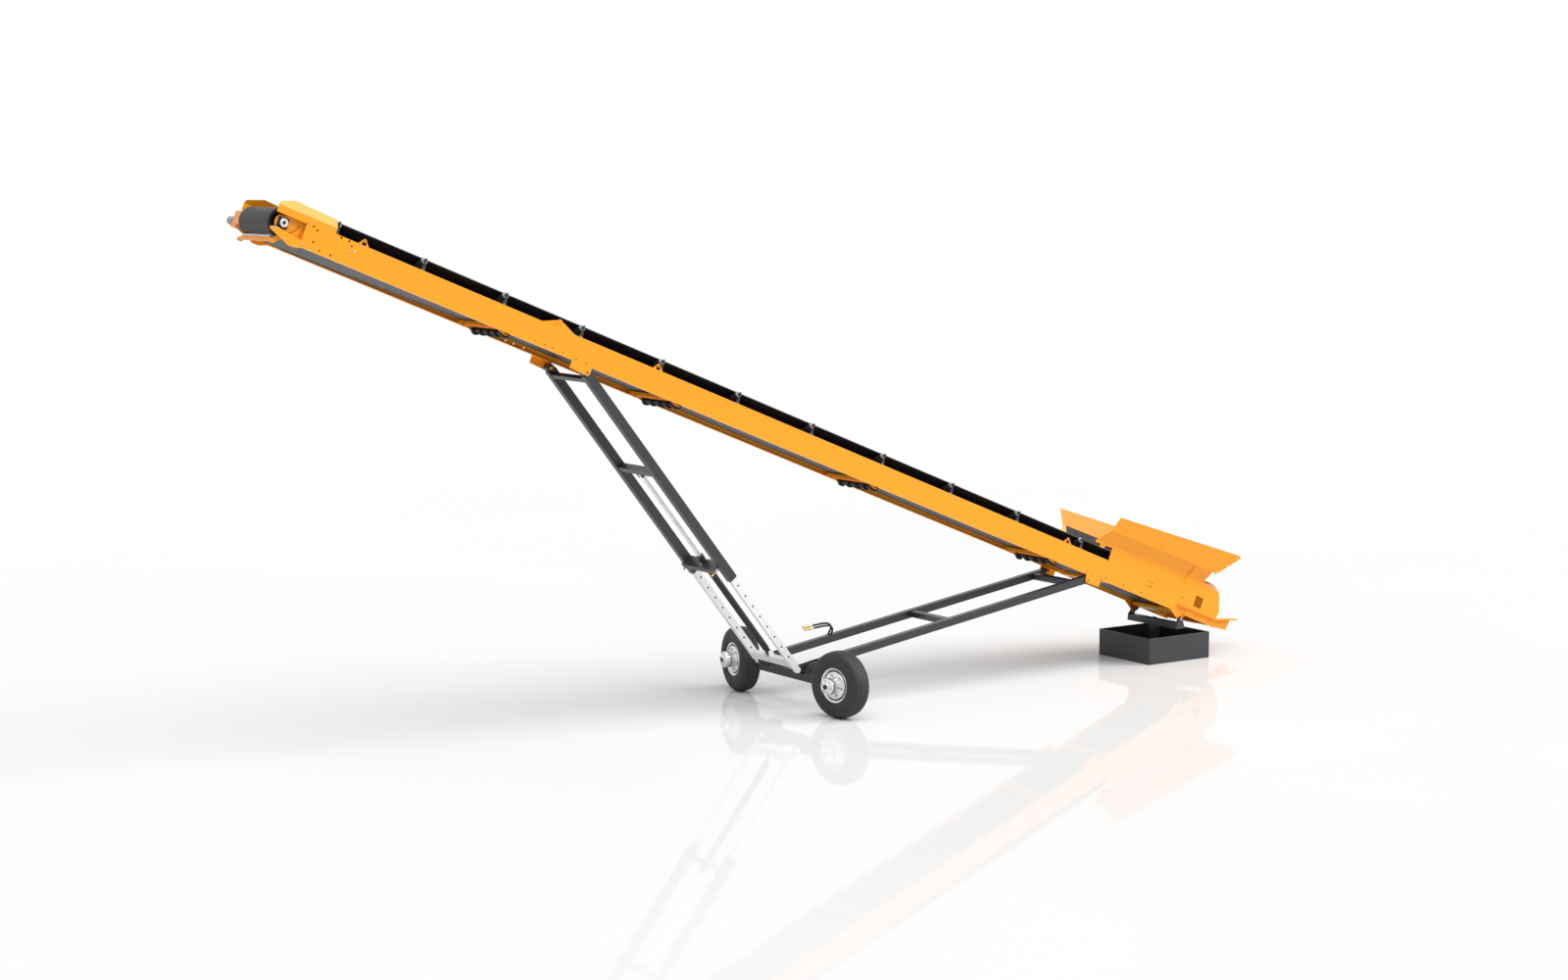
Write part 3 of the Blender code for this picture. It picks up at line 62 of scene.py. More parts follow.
# Frames, as in the CAD source
INCLINE = radians(21.95)
BOOM = Matrix.Translation((0, 0, 1.020)) @ Matrix.Rotation(INCLINE, 4, "Y")
LEG_PIN = (-10.287, -0.367)               # u, v of the pins under the boom
STRUT_PIN = (-1.671, -0.364)
FOOT = Vector((-6.545, 0, 0.535))
LEG_TOP = BOOM @ Vector((LEG_PIN[0], 0, LEG_PIN[1]))
LEG_TURN = atan2(LEG_TOP.z - FOOT.z, FOOT.x - LEG_TOP.x)
LEG = Matrix.Translation(LEG_TOP) @ Matrix.Rotation(LEG_TURN, 4, "Y")
WORLD = Matrix.Identity(4)

SIDE_Y = 0.490
CHANNEL_DEPTH = 0.295
HEAD_DRUM = (-14.622, -0.115, 0.159)      # u, v, radius
TAIL_DRUM = (0.615, -0.108, 0.130)
DRUM_HALF = 0.412
HEAD_PLATE_Y = 0.432
LINK_Y = 0.437
TILT_LUG = (0.185, -0.379)                # u, v of the swivel beam's hinge
WHEEL = (-6.364, 1.150, 0.433)            # centre of the far wheel
TOE = atan2(WHEEL[1], -WHEEL[0])
GAP = 0.0003                              # clearance between pieces that seat on one another
BELT_T = 0.012
TROUGH = radians(30)
TROUGH_FLAT = 0.153
BELT_HALF = 0.400
CARRY_AXIS_V = -0.028
ROLLER_R = 0.0445
CARRY_V = CARRY_AXIS_V + ROLLER_R + GAP
RETURN_V = -0.232
HEAD_IDLERS = (-13.970, -12.794, -11.641)
MAIN_IDLERS = [-10.509 + (10.509 - 1.943) / 7 * i for i in range(8)] + [-0.950, -0.050]
RETURN_MAIN = (-8.842, -5.550, -2.260)
RETURN_HEAD = -11.455


# Materials

def add_node(tree, kind, inputs=None, **values):
    """A new node with its properties and its input sockets set."""
    node = tree.nodes.new(kind)
    for key, value in values.items():
        setattr(node, key, value)
    for key, value in (inputs or {}).items():
        node.inputs[key].default_value = value
    return node


class Nodes:
    """A small helper that wires one material's node tree."""

    def __init__(self, name, colour, roughness, metallic=0.0, specular=0.5):
        self.mat = bpy.data.materials.new(name)
        self.mat.use_nodes = True
        self.mat.diffuse_color = (*colour, 1)
        self.tree = self.mat.node_tree
        self.shader = self.tree.nodes["Principled BSDF"]
        for key, value in (("Base Color", (*colour, 1)), ("Roughness", roughness), ("Metallic", metallic),
                           ("Specular IOR Level", specular)):
            self.shader.inputs[key].default_value = value
        self.coords = self.add("ShaderNodeTexCoord").outputs["Object"]
        self.height = None

    def add(self, kind, inputs=None, **values):
        return add_node(self.tree, kind, inputs, **values)

    def link(self, out, into):
        self.tree.links.new(out, into)

    def noise(self, scale, detail=3.0, stretch=None):
        node = self.add("ShaderNodeTexNoise", {"Scale": scale, "Detail": detail})
        source = self.coords
        if stretch:
            mapping = self.add("ShaderNodeMapping", {"Scale": stretch})
            self.link(source, mapping.inputs["Vector"])
            source = mapping.outputs["Vector"]
        self.link(source, node.inputs["Vector"])
        return node.outputs["Fac"]

    def cells(self, scale):
        node = self.add("ShaderNodeTexVoronoi", {"Scale": scale})
        self.link(self.coords, node.inputs["Vector"])
        return node.outputs["Color"]

    def ramp(self, fac, low, high, start=0.3, end=0.7):
        node = self.add("ShaderNodeValToRGB")
        for element, position, colour in zip(node.color_ramp.elements, (start, end), (low, high)):
            element.position = position
            element.color = (*colour, 1)
        self.link(fac, node.inputs["Fac"])
        return node.outputs["Color"]

    def colour(self, out):
        self.link(out, self.shader.inputs["Base Color"])

    def roughness(self, out, low, high):
        limits = {"From Min": 0.3, "From Max": 0.7, "To Min": low, "To Max": high}
        spread = self.add("ShaderNodeMapRange", limits)
        self.link(out, spread.inputs["Value"])
        self.link(spread.outputs["Result"], self.shader.inputs["Roughness"])

    def bump(self, out, strength, distance):
        node = self.add("ShaderNodeBump", {"Strength": strength, "Distance": distance})
        self.link(out, node.inputs["Height"])
        if self.height:
            self.link(self.height, node.inputs["Normal"])
        self.height = node.outputs["Normal"]
        self.link(self.height, self.shader.inputs["Normal"])

    def mix(self, fac, base, top):
        """One colour laid over what an output gives."""
        node = self.add("ShaderNodeMix", data_type="RGBA")
        self.link(fac, node.inputs["Factor"])
        colours = {socket.name: socket for socket in node.inputs if socket.type == "RGBA"}
        self.link(base, colours["A"])
        colours["B"].default_value = (*top, 1)
        return next(socket for socket in node.outputs if socket.type == "RGBA")


def shade(colour, factor):
    return tuple(min(1.0, c * factor) for c in colour)


def paint(name, colour, roughness, spread=0.05, specular=0.4):
    """Machine paint: slight tone drift, orange peel, and dust settled in broad patches."""
    n = Nodes(name, colour, roughness, specular=specular)
    broad = n.noise(1.3, 4)
    fine = n.noise(22, 3)
    tone = n.ramp(broad, shade(colour, 1 - spread), shade(colour, 1 + spread))
    dust = n.ramp(fine, (0, 0, 0), (0.12, 0.12, 0.12), 0.48, 0.85)
    n.colour(n.mix(dust, tone, shade(colour, 1 - 2.2 * spread)))
    n.roughness(fine, roughness - 0.05, roughness + 0.08)
    n.bump(n.noise(520, 2), 0.10, 0.0006)
    n.bump(n.noise(60, 2), 0.05, 0.0012)
    return n.mat


def zinc(name, colour, roughness, metallic):
    """Hot-dip galvanising: spangled cells with soft run marks."""
    n = Nodes(name, colour, roughness, metallic)
    spangle = n.cells(70)
    tone = n.ramp(spangle, shade(colour, 0.90), shade(colour, 1.05), 0.1, 0.9)
    n.colour(n.mix(n.ramp(n.noise(3, 4), (0, 0, 0), (0.4, 0.4, 0.4)), tone, shade(colour, 0.92)))
    n.roughness(n.noise(45, 3), roughness - 0.08, roughness + 0.10)
    n.bump(spangle, 0.08, 0.0008)
    return n.mat


def rubber(name, colour, roughness, grain=700, streak=None):
    """Rubber: fine grain, faint scuffs, and for a belt streaks along its run."""
    n = Nodes(name, colour, roughness, specular=0.35)
    scuff = n.noise(9, 5, streak)
    n.colour(n.ramp(scuff, shade(colour, 0.82), shade(colour, 1.35)))
    n.roughness(scuff, roughness - 0.08, roughness + 0.10)
    n.bump(n.noise(grain, 2), 0.25, 0.0006)
    return n.mat


def metal(name, colour, roughness, metallic=1.0, brushed=None, cast=False):
    """Bare or plated metal, brushed along one axis or rough from casting."""
    n = Nodes(name, colour, roughness, metallic)
    grain = n.noise(160 if cast else 240, 3, brushed)
    n.colour(n.ramp(n.noise(14, 4), shade(colour, 0.90), shade(colour, 1.06)))
    n.roughness(grain, roughness - 0.05, roughness + 0.10)
    n.bump(grain, 0.30 if cast else 0.04, 0.0015 if cast else 0.0004)
    return n.mat


MATS = {mat.name.split(".")[0]: mat for mat in (
    paint("yellow_paint", (0.98, 0.358, 0.006), 0.30, 0.02, 0.42),
    paint("dark_grey_paint", (0.033, 0.034, 0.039), 0.32, 0.05, 0.45),
    paint("black_paint", (0.012, 0.012, 0.013), 0.34, 0.10, 0.45),
    zinc("galvanised_steel", (0.82, 0.83, 0.83), 0.42, 0.20),
    metal("roller_steel", (0.030, 0.031, 0.033), 0.50, 0.3),
    metal("wheel_silver", (0.78, 0.79, 0.80), 0.24, 0.9),
    metal("chrome_rod", (0.80, 0.81, 0.82), 0.07, 1.0, (1, 40, 40)),
    metal("motor_grey", (0.33, 0.34, 0.35), 0.42, 0.35, cast=True),
    metal("cast_bearing", (0.018, 0.018, 0.020), 0.48, 0.3, cast=True),
    rubber("belt_rubber", (0.0075, 0.0065, 0.0062), 0.62, 900, (0.25, 6, 6)),
    rubber("tyre_rubber", (0.030, 0.031, 0.033), 0.60, 500),
)}
BELT_COVER = rubber("belt_cover", (0.026, 0.027, 0.029), 0.50, 900, (0.25, 6, 6))
ROLLER_END = metal("roller_end", (0.24, 0.24, 0.24), 0.50, 0.2)
RING_STEEL = metal("ring_steel", (0.72, 0.73, 0.75), 0.25, 0.9)
BOLT_STEEL = metal("bolt_steel", (0.55, 0.55, 0.54), 0.35, 0.8)
BRASS = metal("brass", (0.80, 0.50, 0.22), 0.28, 1.0)
# Near-black paint for the painted shade inside holes and on the pin heads
HOLE_SHADE_PAINT = paint("hole_shadow", (0.006, 0.005, 0.005), 0.8, 0.2, 0.1)
HOSE = rubber("hose_rubber", (0.008, 0.008, 0.009), 0.45, 600)
YELLOW = (MATS["yellow_paint"], BOLT_STEEL)


# Holes and plates that several pieces share

SHEET = 0.006            # thickness of the folded plates
WIRE = 0.006
SKIRT = 0.008            # thickness of the hopper's rubber
TAIL_HOLES = ((-1.360, -0.236), (-1.005, -0.239), (-0.653, -0.240), (-0.570, -0.049), (-0.504, -0.062),
              (-0.569, -0.120), (-0.508, -0.114), (0.119, -0.079), (0.230, -0.254), (0.467, -0.252),
              (0.730, -0.256))
LINK_HOLES = ((-10.490, -0.270), (-10.342, -0.270), (-1.624, -0.265), (-1.469, -0.265))


# Shapes in mesh code

stood_for = set()        # nodes that a drawn piece stands for


def new_object(name, data):
    obj = bpy.data.objects.new(name, data)
    bpy.context.scene.collection.objects.link(obj)
    return obj


def finish_mesh(bm, smooth_angle=None):
    bmesh.ops.remove_doubles(bm, verts=bm.verts, dist=0.00002)
    bmesh.ops.recalc_face_normals(bm, faces=bm.faces)
    mesh = bpy.data.meshes.new("piece")
    bm.to_mesh(mesh)
    bm.free()
    if smooth_angle:
        mesh.shade_smooth()
        mesh.set_sharp_from_angle(angle=radians(smooth_angle))
    return mesh


def piece(name, mesh, matrix=BOOM, body="main_boom", mats=YELLOW, nodes=(), slot="yellow_paint", bevel=0.0):
    """Put a mesh drawn in its own frame into the row frame, on a body (or on none yet)."""
    mesh.name = name
    mesh.transform(matrix)
    obj = new_object(name, mesh)
    for mat in mats:
        mesh.materials.append(mat)
    if bevel:
        add_bevel(obj, bevel)
    if body:
        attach(obj, body)
    if nodes:
        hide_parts(*nodes)
        stood_for.update(nodes)
    return obj


def stand_in(node, mesh, matrix, mats, bevel=0.0):
    """A drawn piece on the body of the one node that it stands for."""
    return piece(node + "_skin", mesh, matrix, BODY_OF[node], mats, [node], NODE_SLOT[node], bevel)


def boom_at(u, v=0.0, y=0.0):
    """The boom's frame, moved along it."""
    return BOOM @ Matrix.Translation((u, y, v))


def aimed(start, axis):
    """A frame at a point, with its Z along an axis."""
    return Matrix.Translation(start) @ Vector(axis).to_track_quat("Z", "Y").to_matrix().to_4x4()


def add_bevel(obj, width):
    mod = obj.modifiers.new("edges", "BEVEL")
    mod.width = width
    mod.segments = 2
    mod.limit_method = "ANGLE"
    mod.angle_limit = radians(35)
    mod.use_clamp_overlap = True
    mod.harden_normals = True


TURNS = {"X": Matrix.Rotation(radians(90), 4, "Y"), "Y": Matrix.Rotation(radians(-90), 4, "X"), "Z": WORLD}


def spin(bm, profile, steps, axis="Y", material=0, closed=False, matrix=WORLD):
    """A profile of (along, radius) turned round an axis of the matrix's frame."""
    place = matrix @ TURNS[axis]
    angles = [2 * pi * k / steps for k in range(steps)]
    rings = []
    for along, radius in profile:
        if radius < 1e-6:
            rings.append([bm.verts.new(place @ Vector((0, 0, along)))])
        else:
            ring = [Vector((radius * cos(a), radius * sin(a), along)) for a in angles]
            rings.append([bm.verts.new(place @ point) for point in ring])
    pairs = list(zip(rings, rings[1:]))
    if closed:
        pairs.append((rings[-1], rings[0]))
    for low, high in pairs:
        for k in range(steps):
            j = (k + 1) % steps
            loop = (low[k % len(low)], low[j % len(low)], high[j % len(high)], high[k % len(high)])
            corners = list(dict.fromkeys(loop))
            if len(corners) > 2:
                bm.faces.new(corners).material_index = material


def mirrored(profile):
    """A profile from one end inwards, and the same out to the other end."""
    return [(-along, radius) for along, radius in profile] + profile[::-1]


def prism(bm, outline, start, end, axis="Y", material=0, matrix=None):
    """An outline pulled along an axis: (x, z) for Y, (y, z) for X, (x, y) for Z."""
    def place(a, b, c):
        point = Vector({"Y": (a, c, b), "X": (c, a, b), "Z": (a, b, c)}[axis])
        return matrix @ point if matrix else point
    low = [bm.verts.new(place(a, b, start)) for a, b in outline]
    high = [bm.verts.new(place(a, b, end)) for a, b in outline]
    faces = [bm.faces.new(low[::-1]), bm.faces.new(high)]
    for i in range(len(outline)):
        j = (i + 1) % len(outline)
        faces.append(bm.faces.new((low[i], low[j], high[j], high[i])))
    for face in faces:
        face.material_index = material
    return faces


def box(bm, x0, x1, y0, y1, z0, z1, material=0, matrix=None):
    return prism(bm, [(x0, z0), (x1, z0), (x1, z1), (x0, z1)], y0, y1, "Y", material, matrix)


def bar(bm, start, end, radius, steps=20, chamfer=0.0, material=0):
    """A round bar between two points, with plain or chamfered ends."""
    axis = Vector(end) - Vector(start)
    length = axis.length
    profile = [(0, 0), (0, radius), (length, radius), (length, 0)]
    if chamfer:
        profile = [(0, 0), (0, radius - chamfer), (chamfer, radius), (length - chamfer, radius),
                   (length, radius - chamfer), (length, 0)]
    spin(bm, profile, steps, "Z", material, matrix=aimed(start, axis))


def hex_bolt(bm, at, axis, across, height, material=0):
    """A hexagon head on its washer, on a face at the given point."""
    place = aimed(at, axis)
    base, radius = height * 0.18, across / sqrt(3)
    washer = [(0, across * 0.72), (base, across * 0.72), (height * 0.2, 0)]
    top = base + height
    head = [(base, radius), (base + height * 0.85, radius), (top, radius * 0.86), (top, 0)]
    spin(bm, washer, 16, "Z", material, matrix=place)
    spin(bm, head, 6, "Z", material, matrix=place)


def tube_path(name, points, radius, body, mat):
    """A hose or pipe along a smooth curve through points given in the row frame."""
    curve = bpy.data.curves.new(name, "CURVE")
    curve.dimensions = "3D"
    curve.bevel_depth = radius
    curve.bevel_resolution = 3
    curve.use_fill_caps = True
    spline = curve.splines.new("BEZIER")
    spline.bezier_points.add(len(points) - 1)
    for knot, point in zip(spline.bezier_points, points):
        knot.co = point
        knot.handle_left_type = knot.handle_right_type = "AUTO"
    spline.resolution_u = 6
    obj = new_object(name, curve)
    curve.materials.append(mat)
    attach(obj, body)


def drill(obj, holes, boxes=()):
    """Cut round holes and boxes from a piece."""
    cutter_bm = bmesh.new()
    for corners in boxes:
        box(cutter_bm, *corners, matrix=BOOM)
    for point, axis, radius, depth in holes:
        axis = Vector(axis).normalized()
        point = Vector(point)
        bar(cutter_bm, point - axis * depth, point + axis * depth, radius, 16)
    cutter = new_object("cutter", finish_mesh(cutter_bm))
    cut = obj.modifiers.new("holes", "BOOLEAN")
    cut.operation = "DIFFERENCE"
    cut.solver = "EXACT"
    cut.use_self = True
    cut.object = cutter
    bpy.context.view_layer.update()
    depsgraph = bpy.context.evaluated_depsgraph_get()
    result = bpy.data.meshes.new_from_object(obj.evaluated_get(depsgraph))
    obj.modifiers.clear()
    obj.data = result
    bpy.data.objects.remove(cutter, do_unlink=True)


def side_holes(points, radius, side, depth=0.020):
    """Holes across one side of the boom, at points (u, v)."""
    return [(BOOM @ Vector((a, side * SIDE_Y, b)), (0, 1, 0), radius, depth) for a, b in points]


def drilled(name, mesh, body, holes, boxes=(), bevel=0.0015):
    """A yellow piece whose holes are cut before its edges are rounded."""
    obj = piece(name, mesh, body=None)
    drill(obj, holes, boxes)
    add_bevel(obj, bevel)
    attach(obj, body)


def redrawn(node, holes, boxes, bevel):
    """A node's own shape with small holes cut and edges rounded, standing for it.

    Each hole is (point, axis, radius, depth) in the row frame. Each box is (u0, u1, y0, y1, v0, v1)
    on the boom, where a better drawn piece takes over.
    """
    bm = bmesh.new()
    bm.from_mesh(frame["nodes"][node].data)
    bmesh.ops.remove_doubles(bm, verts=bm.verts, dist=0.00005)
    bmesh.ops.dissolve_limit(bm, angle_limit=radians(0.6), verts=bm.verts, edges=bm.edges)
    mesh = bpy.data.meshes.new(node + "_skin")
    bm.to_mesh(mesh)
    bm.free()
    obj = new_object(node + "_skin", mesh)
    if holes or boxes:
        drill(obj, holes, boxes)
    body, slot = BODY_OF[node], NODE_SLOT[node]
    obj.data.name = obj.name
    obj.data.materials.clear()
    obj.data.materials.append(MATS[slot])
    add_bevel(obj, bevel)
    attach(obj, body)
    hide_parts(node)


def arc(cu, cv, radius, start, end, steps):
    """Points on an arc, angles in degrees."""
    turn = (end - start) / steps
    return [(cu + radius * cos(radians(start + turn * i)),
             cv + radius * sin(radians(start + turn * i))) for i in range(steps + 1)]


def grid_mesh(rows):
    """Faces between rows of points, drawn on the boom."""
    bm = bmesh.new()
    grid = [[bm.verts.new(point) for point in row] for row in rows]
    for low, high in zip(grid, grid[1:]):
        for i in range(len(low) - 1):
            bm.faces.new((low[i], low[i + 1], high[i + 1], high[i]))
    return finish_mesh(bm)


def sheet(name, rows, body="main_boom", nodes=(), mats=YELLOW, slot="yellow_paint", thickness=SHEET,
          bevel=0.0012):
    """A folded sheet through rows of boom points, thickened about its middle."""
    obj = piece(name, grid_mesh(rows), BOOM, body, mats, nodes, slot)
    solid = obj.modifiers.new("sheet", "SOLIDIFY")
    solid.thickness = thickness
    solid.offset = 0
    solid.use_even_offset = True
    if bevel:
        add_bevel(obj, bevel)
    return obj


def mesh_panel(name, rows, columns, nodes=()):
    """Welded mesh between the two ends of each row of boom points: a grid whose edges become wires."""
    ends = [(Vector(a), Vector(b)) for a, b in rows]
    grid = grid_mesh([[a.lerp(b, i / columns) for i in range(columns + 1)] for a, b in ends])
    wires = piece(name, grid, nodes=nodes).modifiers.new("wires", "WIREFRAME")
    wires.thickness = WIRE
    wires.use_even_offset = False
    wires.use_boundary = True


# Belt

def belt_section(u, v, normal, wing):
    """Points across the belt at one station, inner face then outer face."""
    nu, nv = normal
    inner, outer = [], []
    spread = 0.045          # half length of the rounded bend
    bend = 2 * spread
    flat = TROUGH_FLAT - spread
    knots = (-BELT_HALF, -TROUGH_FLAT - spread, -flat, flat, TROUGH_FLAT + spread, BELT_HALF)
    across = [-BELT_HALF] + [a + (b - a) * i / count for a, b, count in zip(knots, knots[1:], (6, 6, 4, 6, 6))
                             for i in range(1, count + 1)]
    for s in across:
        side = 1 if s >= 0 else -1
        over = abs(s) - flat
        y, up, tilt = abs(s), 0.0, 0.0
        if over > 0 and wing > 1e-6:
            tilt, radius, past = wing * min(1.0, over / bend), bend / wing, max(0.0, over - bend)
            y = flat + radius * sin(tilt) + past * cos(wing)
            up = radius * (1 - cos(tilt)) + past * sin(wing)
        inner.append((side * y, up))
        outer.append((side * (y - BELT_T * sin(tilt)), up + BELT_T * cos(tilt)))
    place = lambda pair: Vector((u + nu * pair[1], pair[0], v + nv * pair[1]))
    return [place(p) for p in inner], [place(p) for p in outer]


def belt_strip(stations):
    """A belt through stations of (u, v, normal, wing); material 0 inside, 1 on the cover."""
    bm = bmesh.new()
    rows = []
    for station in stations:
        inner, outer = belt_section(*station)
        rows.append(([bm.verts.new(p) for p in inner], [bm.verts.new(p) for p in outer]))
    for (in_a, out_a), (in_b, out_b) in zip(rows, rows[1:]):
        for i in range(len(in_a) - 1):
            bm.faces.new((in_a[i], in_a[i + 1], in_b[i + 1], in_b[i])).material_index = 0
            bm.faces.new((out_a[i], out_b[i], out_b[i + 1], out_a[i + 1])).material_index = 1
        for i in (0, -1):
            bm.faces.new((in_a[i], in_b[i], out_b[i], out_a[i])).material_index = 1
    for inner, outer in (rows[0], rows[-1]):
        for i in range(len(inner) - 1):
            bm.faces.new((inner[i], outer[i], outer[i + 1], inner[i + 1]))
    return finish_mesh(bm, 40)


def ease(t):
    """From 0 to 1 with a gentle start and end."""
    return t * t * (3 - 2 * t)


def carry_stations(u_from, u_to, step):
    """Stations along the carrying strand."""
    count = max(1, round(abs(u_to - u_from) / step))
    return [(u_from + (u_to - u_from) * i / count, CARRY_V, (0, 1), TROUGH) for i in range(count + 1)]


def opening(idler_u, drum, steps=10):
    """From the last trough idler to the drum's top line, the wings laid down."""
    drum_u, drum_v, radius = drum
    top = drum_v + radius + GAP
    rows = []
    for i in range(1, steps + 1):
        t = ease(i / steps)
        u = idler_u + (drum_u - idler_u) * i / steps
        rows.append((u, CARRY_V + (top - CARRY_V) * t, (0, 1), TROUGH * (1 - t)))
    return rows


def wrap(drum, toward, steps=28):
    """Half a turn round a drum."""
    u, v, radius = drum
    radius += GAP
    rows = []
    for i in range(1, steps):
        angle = pi * i / steps
        normal = (toward * sin(angle), cos(angle))
        rows.append((u + normal[0] * radius, v + normal[1] * radius, normal, 0.0))
    return rows


def return_stations(u_from, v_from, points):
    """The return strand over its rollers, with a slight sag between them."""
    rows = [(u_from, v_from, (0, -1), 0.0)]
    for (u0, v0), (u1, v1) in zip([(u_from, v_from)] + points, points):
        sag = min(0.010, 0.0012 * (u1 - u0) ** 2)
        for i in range(1, 9):
            t = i / 8
            rows.append((u0 + (u1 - u0) * t, v0 + (v1 - v0) * t - sag * 4 * t * (1 - t), (0, -1), 0.0))
    return rows


BELT_MATS = (MATS["belt_rubber"], BELT_COVER)
FOLD_HEAD_U = -11.250
FOLD_MAIN_U = -10.500
RUN_V = RETURN_V + BELT_T

for node, fold_u, last_u, drum, toward, rollers in (
        ("belt_head", FOLD_HEAD_U, HEAD_IDLERS[0], HEAD_DRUM, -1, (RETURN_HEAD,)),
        ("belt_main", FOLD_MAIN_U, MAIN_IDLERS[-1], TAIL_DRUM, 1, RETURN_MAIN[::-1])):
    u, v, r = drum
    stations = carry_stations(fold_u, last_u, 0.15) + opening(last_u, drum) + wrap(drum, toward)
    stations += return_stations(u, v - r, [(end_u, RUN_V) for end_u in (*rollers, fold_u)])
    stand_in(node, belt_strip(stations), BOOM, BELT_MATS)

fold_top = carry_stations(FOLD_HEAD_U, FOLD_MAIN_U, 0.025)
top = piece("belt_fold_skin", belt_strip(fold_top), BOOM, None, BELT_MATS, ["belt_fold"], "belt_rubber")
low = [(FOLD_HEAD_U + (FOLD_MAIN_U - FOLD_HEAD_U) * i / 30, RUN_V, (0, -1), 0.0) for i in range(31)]
bottom = piece("belt_fold_return", belt_strip(low), BOOM, None, BELT_MATS, [], "belt_rubber")
for strand, v in ((top, CARRY_V), (bottom, RUN_V)):
    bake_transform(strand)


# Idlers

def carry_idler_mesh():
    """Three-roller trough idler: material 0 dark steel, 1 roller ends, 2 bolts."""
    bm = bmesh.new()
    base_v = CARRY_AXIS_V - ROLLER_R - 0.055
    step_y = SIDE_Y - 0.060
    half = 0.023
    shell = [(-0.020, base_v), (0.020, base_v), (0.020, base_v + 0.040), (-0.020, base_v + 0.040)]
    prism(bm, shell, -step_y + 0.004, step_y - 0.004)
    rise, run = 0.300 * sin(TROUGH), 0.300 * cos(TROUGH)

    def roller(start, end):
        axis, r = Vector(end) - Vector(start), ROLLER_R
        length, place = axis.length, aimed(start, axis)
        tube = [(0.0035, r * 0.96), (0.006, r), (length - 0.006, r), (length - 0.0035, r * 0.96)]
        spin(bm, tube, 28, "Z", matrix=place)
        for end_at, sign in ((0.0, 1), (length, -1)):
            ring = [(0.0035, r * 0.96), (0.0, r * 0.90), (0.0, r * 0.62), (0.004, r * 0.58),
                    (0.004, r * 0.40), (-0.002, r * 0.36), (-0.002, 0.0)]
            spin(bm, [(end_at + sign * a, b) for a, b in ring], 28, "Z", 1, matrix=place)
        pin = [(-0.018, 0), (-0.018, 0.010), (length + 0.018, 0.010), (length + 0.018, 0)]
        spin(bm, pin, 12, "Z", matrix=place)

    roller((0, -0.147, CARRY_AXIS_V), (0, 0.147, CARRY_AXIS_V))
    for side in (NEAR, FAR):
        foot = side * (SIDE_Y - 0.007)
        inner = side * (step_y - 0.002)
        back = side * (step_y - 0.010)
        end_y = 0.167 + run
        post = side * (end_y + 0.040)
        post_in = side * (end_y + 0.032)
        prism(bm, [(back, base_v), (inner, base_v), (inner, 0.0003), (foot, 0.0003), (foot, 0.0083),
                   (back, 0.0083)], -half, half, "X")
        stem = [(-half, 0.0083), (half, 0.0083), (half, 0.040), (0.011, 0.085), (0.011, 0.128),
                (-0.011, 0.128), (-0.011, 0.085), (-half, 0.040)]
        prism(bm, stem, post_in, post)
        for u in (-0.009, 0.009):
            box(bm, u - 0.003, u + 0.003, side * 0.146, side * 0.176, base_v + 0.038, CARRY_AXIS_V + 0.020)
        start = Vector((0, side * 0.169, CARRY_AXIS_V + 0.001))
        roller(start, start + Vector((0, side * run * 0.985, rise * 0.985)))
        tip = Vector((0, side * end_y, CARRY_AXIS_V + rise))
        along = Vector((0, side * cos(TROUGH), sin(TROUGH)))
        bar(bm, tip, tip + along * 0.050, 0.011, 12, 0.001)
        for u in (-0.012, 0.012):
            hex_bolt(bm, (u, side * (SIDE_Y - 0.028), 0.0083), (0, 0, 1), 0.013, 0.008, 2)
    return finish_mesh(bm, 35)


def return_idler_mesh():
    """Disc return roller on its cross member: 0 dark steel, 1 yellow member, 2 rubber discs."""
    bm = bmesh.new()
    axis_v = RETURN_V - GAP - 0.060
    half_len = 0.385
    pitch = (2 * half_len - 0.050) / 4
    end, neck = half_len + 0.040, half_len + 0.012
    spin(bm, mirrored([(end, 0), (end, 0.012), (neck, 0.012), (neck, 0.034)]), 24,
         matrix=Matrix.Translation((0, 0, axis_v)))
    disc = mirrored([(0.025, 0.034), (0.025, 0.056), (0.021, 0.060)])
    for i in range(5):
        spin(bm, disc, 32, material=2, matrix=Matrix.Translation((0, 0.025 - half_len + i * pitch, axis_v)))
    floor_v, top_v = SHEET - CHANNEL_DEPTH + GAP, -0.246
    inner_y = SIDE_Y - SHEET - GAP
    b0, b1 = -0.230, -0.130
    outline = [(b0, floor_v), (b0 + 0.008, floor_v), (b0 + 0.008, top_v - 0.006), (b1 - 0.008, top_v - 0.006),
               (b1 - 0.008, floor_v), (b1, floor_v), (b1, top_v), (b0, top_v)]
    prism(bm, outline, -inner_y, inner_y, "Y", 1)
    for side in (NEAR, FAR):
        y0, y1 = side * (half_len + 0.006), side * (half_len + 0.016)
        plate = [(b1 - 0.006, floor_v + 0.004), (b1 - 0.006, top_v - 0.008), (0.004, axis_v + 0.032),
                 (0.026, axis_v + 0.020), (0.030, axis_v), (0.020, axis_v - 0.028), (-0.030, axis_v - 0.028)]
        prism(bm, plate, y0, y1, "Y", 1)
        hex_bolt(bm, (0, y1, axis_v), (0, side, 0), 0.024, 0.012, 0)
        for u in (b0 + 0.025, b1 - 0.025):
            hex_bolt(bm, (u, side * (inner_y - 0.030), top_v), (0, 0, 1), 0.018, 0.009, 0)
    return finish_mesh(bm, 35)


